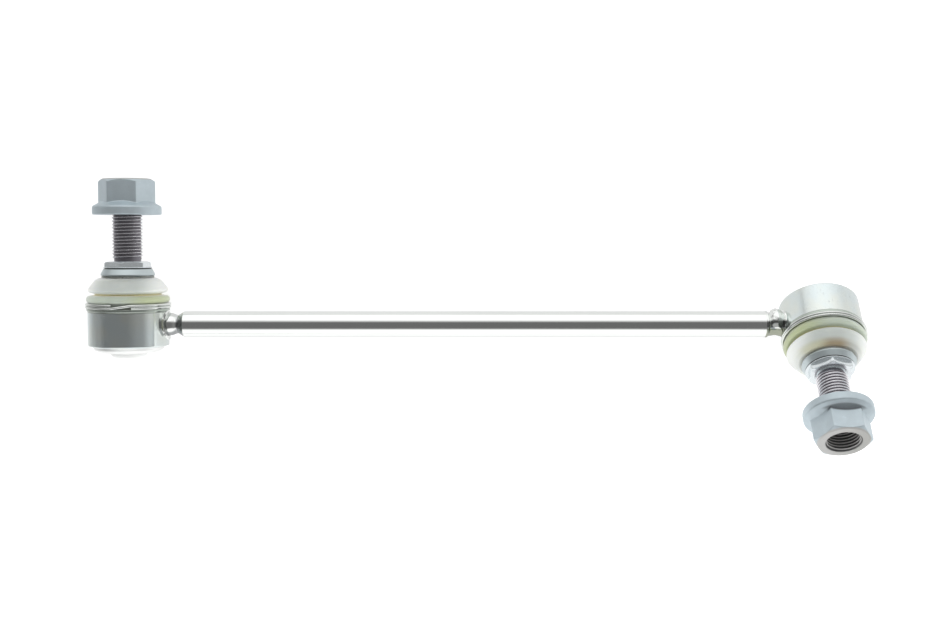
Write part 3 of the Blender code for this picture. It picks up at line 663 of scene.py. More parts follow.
def rubber_finish(colours, name, sizes, stained):
    """Milky rubber: greener in the lower fold, stained in the groove and amber near the stud. Its sides
    are painted paler as painted light, and painted shade lies along the lower fold's edge against the wire
    ring. stained is the side, along the bar, where it is most yellow."""
    finish = Finish(
        name, Subsurface_Weight=0.25, Subsurface_Scale=0.0012, Subsurface_Radius=(1.0, 0.9, 0.6),
        Specular_IOR_Level=0.7, Sheen_Weight=0.8, Sheen_Roughness=0.4,
    )
    level = finish.z + finish.noise(0.25, 2.0) * 0.5
    groove = sizes.waist_height / MM + 0.25
    cloud = finish.noise(0.2, 3.0)
    upper = finish.vary(cloud, colours.rubber_upper, 0.93, 1.07)
    lower = finish.vary(cloud, colours.rubber_lower, 0.93, 1.12)
    yellow = (finish.x * stained + cloud).ramp(0.0, 12.0, 0.0, 0.75)
    lower = finish.mix(yellow, lower, (0.47, 0.52, 0.28))
    # Painted light: the upper fold is painted paler towards its sides, and at end B towards one more side.
    painted_side_light = abs(finish.x).ramp(6.0, 14.5, 0.0, 0.8)
    if stained < 0:
        painted_side_light = finish.math("MAXIMUM", painted_side_light, finish.y.ramp(3.0, -10.0, 0.0, 0.8))
    upper = finish.mix(painted_side_light, upper, (0.88, 0.90, 0.87))
    rubber = finish.mix(level.ramp(groove, groove + 1.0), lower, upper)
    depth = sizes.waist_radius / MM + 1.6 - finish.from_axis
    near = 1.5 - abs(finish.z - (groove - 0.1))
    stain = depth.ramp(0.0, 1.4) * near.ramp(0.0, 1.0)
    rubber = finish.mix(stain, rubber, colours.rubber_groove)
    amber = (14.6 - finish.from_axis).ramp(0.0, 3.2) * finish.z.ramp(15.2, 16.6)
    amber = amber * (finish.y + cloud * 6.0).ramp(2.0, 14.0, 0.12, 1.0)
    amber = amber * finish.x.ramp(1.5, 8.0, 1.0, 0.2)
    tone = finish.mix(finish.x.ramp(-1.0, -6.5), (0.36, 0.29, 0.18), (0.54, 0.54, 0.37))
    rubber = finish.mix(amber, rubber, tone)
    # Painted shade along the lower fold's edge, against the wire ring.
    shade_under_fold = (9.0 + 0.2 * stained - level).ramp(0.0, 0.9) * (0.6 + 0.15 * stained)
    colour = finish.mix(shade_under_fold, rubber, (0.10, 0.11, 0.10))
    fine = finish.noise(2.5, 3.0)
    return finish.done(colour, fine.cast(0.30, 0.42), fine, 0.01)


def wire_finish(colours, name, level, dull):
    """Spring wire with faint draw marks. level scales its colour, and dull adds to its roughness."""
    finish = Finish(name, metallic=1.0)
    marks = finish.noise(1.5, 3.0)
    base = shade(colours.spring, level)
    colour = finish.vary(marks, base, 0.88, 1.06)
    return finish.done(colour, marks.cast(0.14 + dull, 0.24 + dull), marks, 0.004, 0.4)


def weld_finish(colours, name, shaded_side):
    """Flash of the weld, plated with the rest: bright, with burnt patches, painted shade on one side and a
    darker olive beyond it. The last argument gives the direction of that painted shade, as (x, y) across
    the bar, and where it begins and ends."""
    across, up, start, stop = shaded_side
    finish = Finish(name, metallic=1.0)
    # Burnt patches at random.
    burn_and_shade = finish.noise(0.9, 4.0, roughness=0.65).ramp(0.55, 0.7)
    metal = finish.mix(burn_and_shade, shade(colours.bar, 0.98), (0.5, 0.51, 0.48))
    # Painted shade on one side of the flash, from start to stop, and a darker olive beyond stop.
    side = finish.x * across + finish.y * up + finish.noise(0.8, 3.0) * 1.4
    metal = finish.mix(side.ramp(stop, stop + 0.5), metal, (0.33, 0.35, 0.28))
    dark = side.ramp(start, start + 0.8) * side.ramp(stop, stop - 0.5)
    colour = finish.mix(dark * 0.85, metal, (0.20, 0.21, 0.20))
    lumps = finish.noise(2.2, 3.0)
    return finish.done(colour, lumps.cast(0.14, 0.26), lumps, 0.05)


def plastic_finish(colours):
    """Natural acetal of the ball's shell, greased."""
    finish = Finish("natural_acetal", on_cad=True)
    cloud = finish.noise(0.3, 3.0)
    colour = finish.vary(cloud, colours.plastic, 0.93, 1.05)
    return finish.done(colour, 0.35, finish.noise(2.0, 2.0), 0.01, 0.4)


def disc_finish(colours):
    """Spring steel of the loading disc."""
    finish = Finish("spring_steel_disc", metallic=1.0, on_cad=True)
    marks = finish.noise(1.2, 4.0)
    colour = finish.vary(marks, colours.spring, 0.6, 0.8)
    return finish.done(colour, marks.cast(0.22, 0.36), marks, 0.004, 0.4)


class STABILIZER_LINK_OT_add_bar(bpy.types.Operator):
    """Add the bar with both its upset ball ends"""

    bl_idname = "stabilizer_link.add_bar"
    bl_label = "Bar"

    def execute(self, context):
        sizes = context.scene.link_bar
        left, right = (joint_place(end).translation for end in ENDS)
        half = (right - left).length / 2
        ball = sizes.ball_diameter / 2
        neck = sizes.neck_diameter / 2
        bar = sizes.diameter / 2
        centre = half - sizes.ball_place
        reach = math.sqrt(ball**2 - neck**2)
        start = math.acos(reach / ball)
        sweep = (math.pi - start) / BAR_BALL_STEPS
        arc = [math.pi - sweep * i for i in range(BAR_BALL_STEPS + 1)]
        end = [(ball * math.sin(angle), centre - ball * math.cos(angle)) for angle in arc]
        neck_end = half - sizes.neck_place
        corners = [
            (*end[-1], 0),
            (neck, neck_end, sizes.edge_round),
            (bar, neck_end - sizes.chamfer_length, sizes.edge_round),
            (bar, 0, 0),
        ]
        outline = end + [tuple(point) for point in rounded(corners)[1:]]
        mirrored = [(radius, -height) for radius, height in reversed(outline[:-1])]
        shape = turned(outline + mirrored)
        for vert in shape.verts:
            past_neck = abs(vert.co.z) - centre + reach
            if past_neck > 0:
                outwards = vert.co - Vector((0, 0, math.copysign(centre, vert.co.z)))
                swell = noise.noise(vert.co / (2.4 * MM)) * min(past_neck / MM, 1.0)
                vert.co += outwards.normalized() * swell * sizes.ball_lumps
                if vert.co.z < 0:
                    vert.co.z -= sizes.ball_shift * min(past_neck / reach, 1.0)
        place = Matrix.Rotation(math.pi / 2, 4, "Y")
        place.translation = (left + right) / 2
        material = bar_finish(context.scene.link_colours)
        piece = add_piece(context, shape, "bar", "", material, "tie_rod", place)
        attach(piece, "link")
        return {"FINISHED"}


class STABILIZER_LINK_OT_add_welds(bpy.types.Operator):
    """Add the weld flash between the bar and each housing"""

    bl_idname = "stabilizer_link.add_welds"
    bl_label = "Welds"

    # Each weld's side with painted shade: its direction across the bar, and the millimetres where that
    # painted shade begins and ends.
    SHADED_SIDES = {"a": (0.0, 1.0, 4.3, 6.0), "b": (0.79, -0.61, -0.9, 2.2)}

    def execute(self, context):
        colours = context.scene.link_colours
        for seed, end in enumerate(ENDS):
            shaded_side = self.SHADED_SIDES[end]
            material = weld_finish(colours, "plated_weld_flash_" + end, shaded_side)
            shape = self.flash(context, end, seed)
            piece = add_piece(
                context, shape, "weld_flash_", end, material, "weld_collar_", bar_place(end)
            )
            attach(piece, "link")
        return {"FINISHED"}

    def flash(self, context, end, seed):
        """An uneven rolled bead round the bar, laid on the housing's round wall. At end B the
        molten metal has also run over the ball, to one side."""
        sizes = context.scene.link_weld
        wall = context.scene.link_cup.radius
        middle = sizes.radius + (sizes.spread if end == "a" else 0)
        half = sizes.width / 2
        height = sizes.height
        bead = [
            (middle - half - 0.6 * MM, -0.4 * MM, 0),
            (middle - half - 0.6 * MM, 0.6 * height, 0.3 * MM),
            (middle, height, 0.4 * MM),
            (middle + half, 0.35 * height, 0.3 * MM),
            (middle + 1.2 * half, -0.4 * MM, 0),
        ]
        shape = turned(rounded(bead, 5), WELD_STEPS, closed=True)
        if end == "b":
            self.add_run(shape, sizes)
        for vert in shape.verts:
            radius = vert.co.xy.length
            if radius < MERGE:
                vert.co.z += wall
                continue
            around = vert.co.xy / radius
            spot = Vector((around.x, around.y, vert.co.z / (6 * MM) + 7.3 * seed))
            swell = noise.noise(spot * 1.6) + 0.5 * noise.noise(spot * 4.1)
            free = share(radius, 2.6 * MM, 4.0 * MM)
            free *= max(share(vert.co.z, 6.6 * MM, 4.6 * MM), 0.12)
            radius += sizes.roughness * swell * free
            rise = vert.co.z + 0.6 * sizes.roughness * noise.noise(spot * 2.7 + Vector((3, 1, 4))) * free
            across = radius * around.y
            fall = wall - math.sqrt(wall**2 - across**2)
            on_wall = share(vert.co.z, 2.4 * MM, 0.8 * MM)
            vert.co = (radius * around.x, across, wall + rise - fall * on_wall)
        return shape

    def add_run(self, shape, sizes):
        """The metal that ran over the ball: a sleeve up to the bar's end, and a blob to one side."""
        top = sizes.run_height
        widest = sizes.run_radius
        end = sizes.sleeve_height
        over_bar = sizes.sleeve_radius
        blob = [
            (0, -0.6 * MM, 0),
            (widest - 0.4 * MM, -0.6 * MM, 0),
            (widest - 0.1 * MM, 1.0 * MM, 0.8 * MM),
            (widest, 2.6 * MM, 1.2 * MM),
            (widest - 0.5 * MM, top - 1.2 * MM, 1.4 * MM),
            (widest - 2.2 * MM, top, 1.0 * MM),
            (0, top + 0.1 * MM, 0),
        ]
        sleeve = [
            (3.0 * MM, -0.4 * MM, 0),
            (over_bar - 0.3 * MM, -0.4 * MM, 0),
            (over_bar - 0.8 * MM, 2.4 * MM, 1.6 * MM),
            (over_bar - 0.55 * MM, end - 1.2 * MM, 0.8 * MM),
            (over_bar, end - 0.7 * MM, 0.3 * MM),
            (over_bar, end, 0.15 * MM),
            (3.0 * MM, end + 0.1 * MM, 0),
        ]
        for outline, shift, closed in ((blob, sizes.run_shift, False), (sleeve, 0.0, True)):
            part = turned(rounded(outline, 5), WELD_STEPS, closed=closed)
            towards = Vector((-0.33, 2.5, 0)).normalized() * shift
            for vert in part.verts:
                vert.co += towards * share(vert.co.z, 0.0, 2.0 * MM)
            mesh = bpy.data.meshes.new("run")
            part.to_mesh(mesh)
            part.free()
            shape.from_mesh(mesh)
            bpy.data.meshes.remove(mesh)


class STABILIZER_LINK_OT_add_housings(bpy.types.Operator):
    """Add both ball joint housings, with their rim, boot seat and rolled lip"""

    bl_idname = "stabilizer_link.add_housings"
    bl_label = "Housings"

    def execute(self, context):
        cup = context.scene.link_cup
        for end in ENDS:
            sink = BAND_SINK[end]
            name = "zinc_on_turned_steel_" + end
            material = cup_finish(context.scene.link_colours, name, 0.92, 0.0, sink / MM)
            shape = turned(rounded(self.outline(cup, sink)), FINE_STEPS)
            piece = add_piece(context, shape, "cup_", end, material, "housing_")
            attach(piece, "link")
        return {"FINISHED"}

    def outline(self, cup, sink):
        """The housing's section. sink is how much lower its rim is."""
        lip_inside = -(cup.lip_bottom - cup.lip_thickness)
        seat = cup.cover_radius + 0.3 * MM
        rim_top = cup.rim_top - sink
        return [
            (cup.throat, 3.9 * MM, 0),
            (cup.flare, cup.neck_top, 0.3 * MM),
            (cup.neck_radius, cup.neck_top, 0.25 * MM),
            (cup.neck_radius, rim_top, 0.1 * MM),
            (cup.rim_radius, rim_top, 0.2 * MM),
            (cup.rim_radius, rim_top - cup.rim_edge, 0.2 * MM),
            (cup.radius, cup.rim_bottom - sink, 0.3 * MM),
            (cup.radius, -cup.bottom, 0.55 * MM),
            (cup.roll_radius, -cup.bottom - 0.35 * MM, 0.35 * MM),
            (cup.roll_radius - 0.5 * MM, -cup.bottom - 1.5 * MM, 1.2 * MM),
            (cup.roll_radius - 1.9 * MM, -cup.lip_bottom + 0.55 * MM, 1.6 * MM),
            (cup.lip_radius + 0.2 * MM, -cup.lip_bottom, 0.5 * MM),
            (cup.lip_radius, lip_inside, 0.2 * MM),
            (seat, lip_inside, 0),
            (seat, -cup.ledge, 0),
            (cup.bore, -cup.ledge, 0),
            (cup.bore, 2.5 * MM, 0),
            (cup.throat, 3.9 * MM, 0),
        ]


class STABILIZER_LINK_OT_add_covers(bpy.types.Operator):
    """Add the pressed cover under each ball"""

    bl_idname = "stabilizer_link.add_covers"
    bl_label = "Covers"

    def execute(self, context):
        cup = context.scene.link_cup
        top = -(cup.ledge + 0.3 * MM)
        bottom = top - cup.cover_thickness
        dome = bottom - cup.dome_height
        wall = cup.cover_thickness
        corners = [
            (0, dome + wall, 0),
            (cup.dome_radius - wall, dome + wall, 0.6 * MM),
            (cup.dome_radius - wall, top, 0.5 * MM),
            (cup.cover_radius, top, 0.2 * MM),
            (cup.cover_radius, bottom, 0.2 * MM),
            (cup.dome_radius, bottom, 0.5 * MM),
            (cup.dome_radius, dome, cup.dome_round),
            (0, dome, 0),
        ]
        material = cup_finish(context.scene.link_colours, "zinc_on_pressed_cover", 0.2, 0.3)
        for end in ENDS:
            shape = turned(rounded(corners, 6))
            piece = add_piece(context, shape, "cover_", end, material, "closing_cap_")
            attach(piece, "link")
        return {"FINISHED"}


class STABILIZER_LINK_OT_finish_inside(bpy.types.Operator):
    """Give the pieces inside the housings their finishes"""

    bl_idname = "stabilizer_link.finish_inside"
    bl_label = "Inner pieces"

    def execute(self, context):
        colours = context.scene.link_colours
        inner = {"bearing_shell_": plastic_finish(colours), "preload_disc_": disc_finish(colours)}
        for stem, material in inner.items():
            for end in ENDS:
                node = frame["nodes"][stem + end]
                node.data.materials.clear()
                node.data.materials.append(material)
        return {"FINISHED"}


class STABILIZER_LINK_OT_add_wires(bpy.types.Operator):
    """Add the wire rings that hold each boot"""

    bl_idname = "stabilizer_link.add_wires"
    bl_label = "Wire rings"

    # The degrees over which the wire climbs, and the steps of a flat turn and of the climb.
    CLAMP_CLIMB = (27, 90, 12)
    LIP_CLIMB = (14, 72, 6)
    # How far each clamp ring and each lip ring is turned about its stud, in degrees.
    CLAMP_TURNS = {"a": -72.5, "b": -50.0}
    LIP_TURNS = {"a": -48.0, "b": 57.0}

    def execute(self, context):
        wires = context.scene.link_wires
        bright = wire_finish(context.scene.link_colours, "bright_spring_wire", 1.0, 0.0)
        thin = wire_finish(context.scene.link_colours, "dull_spring_wire", 0.6, 0.12)
        for end in ENDS:
            shape = self.ring(wires.clamp_radius, wires.clamp_wire, wires.clamp_pitch, self.CLAMP_CLIMB)
            place = self.place(end, wires.clamp_height - BAND_SINK[end], self.CLAMP_TURNS[end])
            piece = add_piece(
                context, shape, "clamp_wire_", end, bright, "boot_spring_ring_", place
            )
            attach(piece, "link")
            shape = self.ring(wires.lip_radius, wires.lip_wire, wires.lip_pitch, self.LIP_CLIMB)
            place = self.place(end, wires.lip_height, self.LIP_TURNS[end])
            piece = add_piece(
                context, shape, "lip_wire_", end, thin, "boot_upper_ring_", place
            )
            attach(piece, "boot_lip_" + end)
        return {"FINISHED"}

    def ring(self, radius, wire, pitch, climb):
        """A ring of two flat turns, with the climb between them."""
        degrees, flat_steps, climb_steps = climb
        gap = math.radians(degrees)
        flat = (math.tau - gap, 0, flat_steps)
        return coil(radius, wire / 2, [flat, (gap, pitch, climb_steps), flat])

    def place(self, end, height, turn):
        """The frame of a ring at a height along the stud, turned by some degrees."""
        place = joint_place(end) @ Matrix.Translation((0, 0, height))
        return place @ Matrix.Rotation(math.radians(turn), 4, "Z")


class STABILIZER_LINK_OT_add_boots(bpy.types.Operator):
    """Add both rubber boots, each in two parts that meet in the groove between its folds"""

    bl_idname = "stabilizer_link.add_boots"
    bl_label = "Boots"

    # The side, along the bar, where each boot is most yellow.
    STAINED_SIDES = {"a": 1.0, "b": -1.0}

    def execute(self, context):
        boot = context.scene.link_boot
        colours = context.scene.link_colours
        for end in ENDS:
            stained = self.STAINED_SIDES[end]
            material = rubber_finish(colours, "milky_rubber_" + end, boot, stained)
            folds = "boot_folds_" + end
            parts = (
                ("lower_fold_", self.lower_fold(boot, BAND_SINK[end]), "link", folds,
                 8.4 * MM, boot.waist_height),
                ("upper_fold_", self.upper_fold(boot), folds, "boot_lip_" + end,
                 boot.waist_height, boot.shelf_height - 0.8 * MM),
            )
            place = joint_place(end)
            for stem, outline, first, second, start, stop in parts:
                shape = turned(rounded(outline, 6), FINE_STEPS, closed=True)
                piece = add_piece(context, shape, stem, end, material, "boot_")
                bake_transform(piece)
        return {"FINISHED"}

    def lower_fold(self, boot, sink):
        """The bead on the housing and the lower fold, as a closed section. sink is how much lower
        the fold's foot is."""
        waist = boot.waist_height
        wall = boot.wall
        neck = 12.9 * MM
        out = boot.lower_radius
        return [
            (boot.waist_radius - wall, waist + 0.1 * MM, 0),
            (boot.waist_radius, waist + 0.1 * MM, 0),
            (boot.waist_radius + 0.1 * MM, waist - 0.25 * MM, 0.5 * MM),
            (out - 0.5 * MM, waist - 0.55 * MM, 1.3 * MM),
            (out + 0.1 * MM, boot.lower_height - 0.2 * MM, 1.2 * MM),
            (out - 0.5 * MM, 8.5 * MM - sink, 0.5 * MM),
            (boot.bead_radius, 8.2 * MM - sink, 0.2 * MM),
            (boot.bead_radius, boot.bead_bottom, 0.2 * MM),
            (neck, boot.bead_bottom, 0.1 * MM),
            (neck, 8.5 * MM, 0.2 * MM),
            (out - wall - 0.3 * MM, 9.0 * MM, 0.6 * MM),
            (out - wall - 0.4 * MM, waist - 1.3 * MM, 0.5 * MM),
            (boot.waist_radius - wall, waist - 1.1 * MM, 0.4 * MM),
            (boot.waist_radius - wall, waist, 0),
        ]

    def upper_fold(self, boot):
        """The upper fold and the lip on the stud, as a closed section."""
        waist = boot.waist_height
        wall = boot.wall
        out = boot.upper_radius
        shelf = boot.shelf_height
        lip = boot.lip_radius + boot.lip_wall
        return [
            (lip, shelf, 0),
            (boot.shelf_radius, shelf, 0.25 * MM),
            (boot.shelf_radius + 1.6 * MM, shelf - 0.9 * MM, 1.5 * MM),
            (out - 0.55 * MM, boot.upper_height + 1.0 * MM, 1.6 * MM),
            (out + 0.15 * MM, boot.upper_height - 0.3 * MM, 0.8 * MM),
            (out - 0.7 * MM, waist + 0.75 * MM, 0.7 * MM),
            (boot.waist_radius + 0.1 * MM, waist + 0.3 * MM, 0.5 * MM),
            (boot.waist_radius, waist, 0),
            (boot.waist_radius - wall, waist, 0),
            (boot.waist_radius - wall, waist + 1.2 * MM, 0.4 * MM),
            (out - wall - 0.6 * MM, waist + 1.6 * MM, 0.4 * MM),
            (out - wall - 0.7 * MM, boot.upper_height + 0.4 * MM, 0.8 * MM),
            (boot.shelf_radius + 0.6 * MM, shelf - 1.7 * MM, 1.0 * MM),
            (boot.lip_radius, shelf - wall - 0.3 * MM, 0.2 * MM),
            (boot.lip_radius, boot.lip_top, 0.2 * MM),
            (lip, boot.lip_top, 0.2 * MM),
            (lip, shelf + 0.05 * MM, 0),
        ]


class STABILIZER_LINK_OT_add_studs(bpy.types.Operator):
    """Add both ball studs: ball, cone, hexagon collar and cut thread"""

    bl_idname = "stabilizer_link.add_studs"
    bl_label = "Ball studs"

    # How far each hexagon collar is turned about its stud, in degrees.
    COLLAR_TURNS = {"a": 53.8, "b": 6.4}

    def execute(self, context):
        stud = context.scene.link_stud
        material = stud_finish(context.scene.link_colours)
        for end in ENDS:
            shape = self.body(stud, math.radians(self.COLLAR_TURNS[end]))
            self.add_thread(shape, stud)
            piece = add_piece(context, shape, "stud_", end, material, "ball_stud_")
            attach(piece, "stud_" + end)
        return {"FINISHED"}

    def body(self, stud, turn):
        """Everything below the thread, turned and then planed at the collar."""
        ball = stud.ball_radius
        first = math.asin(stud.ball_flat / ball)
        last = math.pi - math.asin(stud.neck_radius / ball)
        sphere = [first + (last - first) * i / BALL_STEPS for i in range(BALL_STEPS + 1)]
        corner = stud.collar_flats / 2 / math.cos(HALF_SIDE)
        outline = [(0, -ball * math.cos(first), 0)]
        outline += [(ball * math.sin(a), -ball * math.cos(a), 0) for a in sphere]
        outline += [
            (stud.neck_radius, stud.neck_end, 1.0 * MM),
            (stud.shank_radius, stud.shank_middle, 2.0 * MM),
            (stud.seat_radius, stud.seat_bottom, 0.3 * MM),
            (stud.seat_radius, stud.cone_bottom, 0.1 * MM),
            (stud.cone_radius, stud.cone_bottom, 0.15 * MM),
            (stud.cone_radius, stud.cone_bottom + 0.45 * MM, 0.2 * MM),
            (stud.cone_top_radius, stud.cone_top, 0.15 * MM),
            (stud.cone_top_radius - 0.4 * MM, stud.cone_top + 0.1 * MM, 0.05 * MM),
            (stud.cone_top_radius - 0.4 * MM, stud.cone_top + 0.35 * MM, 0.05 * MM),
            (stud.collar_foot_radius, stud.cone_top + 0.45 * MM, 0.05 * MM),
            (stud.collar_foot_radius, stud.collar_foot, 0.1 * MM),
            (corner, stud.collar_foot, 0),
            (corner, stud.collar_seat - 0.5 * MM, 0),
            (stud.collar_crown, stud.collar_seat, 0.1 * MM),
            (stud.relief_radius + 1.1 * MM, stud.collar_seat, 0.1 * MM),
            (stud.relief_radius, stud.collar_seat - 0.4 * MM, 0),
            (0, stud.collar_seat - 0.4 * MM, 0),
        ]
        shape = turned(rounded(outline), TURN_STEPS, turn + HALF_SIDE)
        crown = (stud.collar_seat - 0.1 * MM, stud.collar_corner)
        verts = plane_flats(shape, stud.collar_flats, turn, corner, crown)
        soften(shape, verts, turn, 0.14 * MM)
        return shape

    def add_thread(self, shape, stud):
        """The threaded rod, from inside the collar to the chamfered end."""
        low = stud.collar_seat - 1.0 * MM
        plain = stud.collar_seat + stud.relief_length

        def trim(radius, height):
            radius = min(radius, stud.relief_radius + max(height - plain, 0))
            return min(radius, stud.thread_radius - max(height - stud.end + stud.chamfer, 0))

        root = stud.thread_radius - stud.thread_depth
        threaded(shape, stud.thread_radius, root, stud.pitch, low, stud.end, trim, THREAD_STEPS)
        fill_rings(shape)


class STABILIZER_LINK_OT_add_nuts(bpy.types.Operator):
    """Add both flange nuts, with their cut threads"""

    bl_idname = "stabilizer_link.add_nuts"
    bl_label = "Flange nuts"

    # How far each nut is turned about its stud, in degrees.
    NUT_TURNS = {"a": 32.0, "b": 30.0}

    def execute(self, context):
        nut = context.scene.link_nut
        pitch = context.scene.link_stud.pitch
        material = nut_finish(context.scene.link_colours)
        for end in ENDS:
            shape = self.nut(nut, pitch, math.radians(self.NUT_TURNS[end]))
            place = joint_place(end)
            place = place @ Matrix.Translation((0, 0, self.bearing_height(end, place)))
            piece = add_piece(context, shape, "nut_", end, material, "flange_nut_", place)
            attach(piece, "nut_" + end)
        return {"FINISHED"}

    def bearing_height(self, end, place):
        """Where the CAD nut's bearing face is along the stud."""
        back = place.inverted()
        node = frame["nodes"]["flange_nut_" + end]
        return min((back @ vert.co).z for vert in node.data.vertices)

    def nut(self, nut, pitch, turn):
        """Flange and hexagon, turned and planed, round a threaded bore."""
        corner = nut.flats / 2 / math.cos(HALF_SIDE)
        rise = nut.flange_rise / MM

        def on_flange(radius):
            return nut.flange_rim + (nut.flange_radius - radius) * rise

        outline = [
            (nut.countersink, nut.height, 0),
            (nut.crown, nut.height, 0.3 * MM),
            (corner, nut.height - 1.0 * MM, 0),
            (corner, on_flange(corner), 0),
            (nut.flange_radius, nut.flange_rim, nut.rim_round),
            (nut.flange_radius, 0, 0.5 * MM),
            (nut.countersink, 0, 0),
        ]
        start = turn + HALF_SIDE
        shape = turned(rounded(outline), TURN_STEPS, start)
        crown = (nut.height, nut.crown)
        verts = plane_flats(shape, nut.flats, turn, corner, crown, on_flange)
        soften(shape, verts, turn, nut.edge_round, 3)

        def trim(radius, height):
            mouth = nut.countersink - min(height, nut.height - height)
            return max(radius, mouth)

        crest = nut.bore - nut.thread_depth
        threaded(shape, crest, nut.bore, pitch, 0, nut.height, trim, TURN_STEPS, start)
        return shape


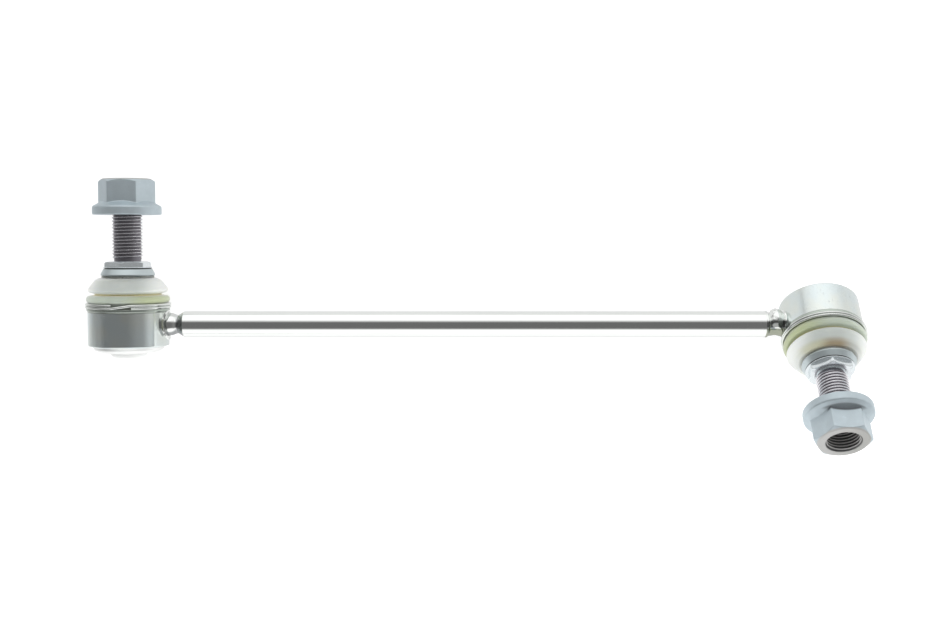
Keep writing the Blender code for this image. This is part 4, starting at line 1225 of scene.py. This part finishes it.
class STABILIZER_LINK_OT_set_stage(bpy.types.Operator):
    """Set the white floor, the soft light and the camera that looks straight down"""

    bl_idname = "stabilizer_link.set_stage"
    bl_label = "Stage"

    CAMERA_HEIGHT = 526.5 * MM
    CAMERA_OFFSET = 2.9 * MM
    LENS = 51.75
    SENSOR_WIDTH = 36.0
    FLOOR_SIZE = 3.0
    FLOOR_DROP = 0.1 * MM
    FLOOR_GLOW = 0.23
    SEEN_GLOW = 0.28
    # Each softbox: its name, its place from the link's middle in metres, its width and its power.
    LAMPS = (
        ("top_softbox", (0.12, 0.2, 0.7), 0.6, 0.7),
        ("front_softbox", (0, -0.5, 0.28), 0.5, 1.3),
        ("right_softbox", (1.2, 0.1, 0.3), 0.8, 9.5),
        ("left_softbox", (-1.2, 0.1, 0.3), 0.8, 7.5),
    )

    def execute(self, context):
        middle = sum((joint_place(end).translation for end in ENDS), Vector()) / 2
        self.add_camera(context, middle)
        self.add_floor(context)
        self.set_world(context)
        for name, offset, width, power in self.LAMPS:
            self.add_lamp(context, name, middle + Vector(offset), middle, width, power)
        context.scene.view_settings.view_transform = "Standard"
        return {"FINISHED"}

    def add_camera(self, context, middle):
        """The camera over the link, with the top of the picture along +Y."""
        data = bpy.data.cameras.new("camera")
        data.lens = self.LENS
        data.sensor_width = self.SENSOR_WIDTH
        camera = bpy.data.objects.new("camera", data)
        camera.location = middle + Vector((0, self.CAMERA_OFFSET, self.CAMERA_HEIGHT))
        context.scene.collection.objects.link(camera)
        context.scene.camera = camera

    def add_floor(self, context):
        """A white floor that keeps the link's soft shadow. Metal sees a darker floor beyond end A and
        on the far side of the bar."""
        shape = bmesh.new()
        bmesh.ops.create_grid(shape, x_segments=1, y_segments=1, size=self.FLOOR_SIZE)
        bmesh.ops.translate(shape, verts=shape.verts, vec=(0, 0, -self.FLOOR_DROP))
        mesh = bpy.data.meshes.new("floor")
        shape.to_mesh(mesh)
        shape.free()
        floor = bpy.data.objects.new("floor", mesh)
        context.scene.collection.objects.link(floor)
        material = bpy.data.materials.new("white_floor")
        tree = Tree(material)
        tree.nodes.clear()
        diffuse = tree.add("BsdfDiffuse", {"Color": (0.8, 0.8, 0.8)})
        seen = tree.add("LightPath", output="Is Camera Ray") * self.SEEN_GLOW + self.FLOOR_GLOW
        plain = tree.add("AddShader", {0: diffuse, 1: tree.add("Emission", {"Strength": seen})})
        x, y = tree.split(tree.add("TexCoord", output="Object"))[:2]
        fade = tree.math("DIVIDE", 0.025, tree.math("MAXIMUM", -0.135 - x, 0.033))
        slope = tree.add("MapRange", {0: y, 1: -0.036, 2: -0.014, 3: 1.12, 4: 0.84})
        mirrored = tree.add("Emission", {"Strength": (fade + 0.28) * slope})
        glossy = tree.add("LightPath", output="Is Glossy Ray")
        both = tree.add("MixShader", {0: glossy, 1: plain, 2: mirrored})
        tree.show("OutputMaterial", both)
        mesh.materials.append(material)

    def set_world(self, context):
        """White surroundings. Metal sees a darker strip overhead, along the bar."""
        world = bpy.data.worlds.new("studio")
        context.scene.world = world
        tree = Tree(world)
        tree.nodes.clear()
        x, y = tree.split(tree.add("TexCoord", output="Generated"))[:2]
        strip = y.ramp(0.2, 0.66, 1, 0) * y.ramp(-0.86, -0.6, 0, 1)
        dark = x.ramp(-1.0, -0.85, 0.29, 0.155) + x.ramp(0.1, 0.8, 0, 0.12) + x.ramp(0.8, 1.0, 0, 0.37)
        bright = abs(x).ramp(0.1, 0.9, 1.25, 0.88)
        seen_by_metal = bright - strip * (bright - dark)
        glossy = tree.add("LightPath", output="Is Glossy Ray")
        level = (1.0 - glossy) * 0.42 + seen_by_metal * glossy
        level = tree.math("MAXIMUM", level, tree.add("LightPath", output="Is Camera Ray"))
        tree.show("OutputWorld", tree.add("Background", {"Color": (1, 1, 1), "Strength": level}))

    def add_lamp(self, context, name, place, target, width, power):
        """A square softbox that faces the link."""
        data = bpy.data.lights.new(name, "AREA")
        data.shape = "SQUARE"
        data.size = width
        data.energy = power
        lamp = bpy.data.objects.new(name, data)
        lamp.location = place
        lamp.visible_glossy = False
        lamp.rotation_mode = "QUATERNION"
        lamp.rotation_quaternion = (target - place).to_track_quat("-Z", "Y")
        context.scene.collection.objects.link(lamp)


OPERATORS = (
    STABILIZER_LINK_OT_set_stage,
    STABILIZER_LINK_OT_add_bar,
    STABILIZER_LINK_OT_add_welds,
    STABILIZER_LINK_OT_add_housings,
    STABILIZER_LINK_OT_add_covers,
    STABILIZER_LINK_OT_finish_inside,
    STABILIZER_LINK_OT_add_wires,
    STABILIZER_LINK_OT_add_boots,
    STABILIZER_LINK_OT_add_studs,
    STABILIZER_LINK_OT_add_nuts,
)

GROUPS = {
    "link_bar": BarSizes,
    "link_weld": WeldSizes,
    "link_cup": CupSizes,
    "link_stud": StudSizes,
    "link_nut": NutSizes,
    "link_boot": BootSizes,
    "link_wires": WireSizes,
    "link_colours": LinkColours,
}


class STABILIZER_LINK_PT_panel(bpy.types.Panel):
    """Lists the link's pieces and sizes"""

    bl_idname = "STABILIZER_LINK_PT_panel"
    bl_label = "Stabilizer link"
    bl_space_type = "VIEW_3D"
    bl_region_type = "UI"
    bl_category = "Link"

    def draw(self, context):
        for operator in OPERATORS:
            self.layout.operator(operator.bl_idname)
        for name in GROUPS:
            column = self.layout.box().column()
            group = getattr(context.scene, name)
            for key in group.bl_rna.properties.keys():
                if key not in ("rna_type", "name"):
                    column.prop(group, key)


def register():
    for group in GROUPS.values():
        bpy.utils.register_class(group)
    for name, group in GROUPS.items():
        setattr(bpy.types.Scene, name, PointerProperty(type=group))
    for item in (*OPERATORS, STABILIZER_LINK_PT_panel):
        bpy.utils.register_class(item)


def unregister():
    for item in reversed((*OPERATORS, STABILIZER_LINK_PT_panel)):
        bpy.utils.unregister_class(item)
    for name, group in GROUPS.items():
        delattr(bpy.types.Scene, name)
        bpy.utils.unregister_class(group)


def main():
    """Builds every piece."""
    register()
    for operator in OPERATORS:
        getattr(bpy.ops.stabilizer_link, operator.bl_idname.split(".")[1])()


if __name__ == "__main__":
    main()
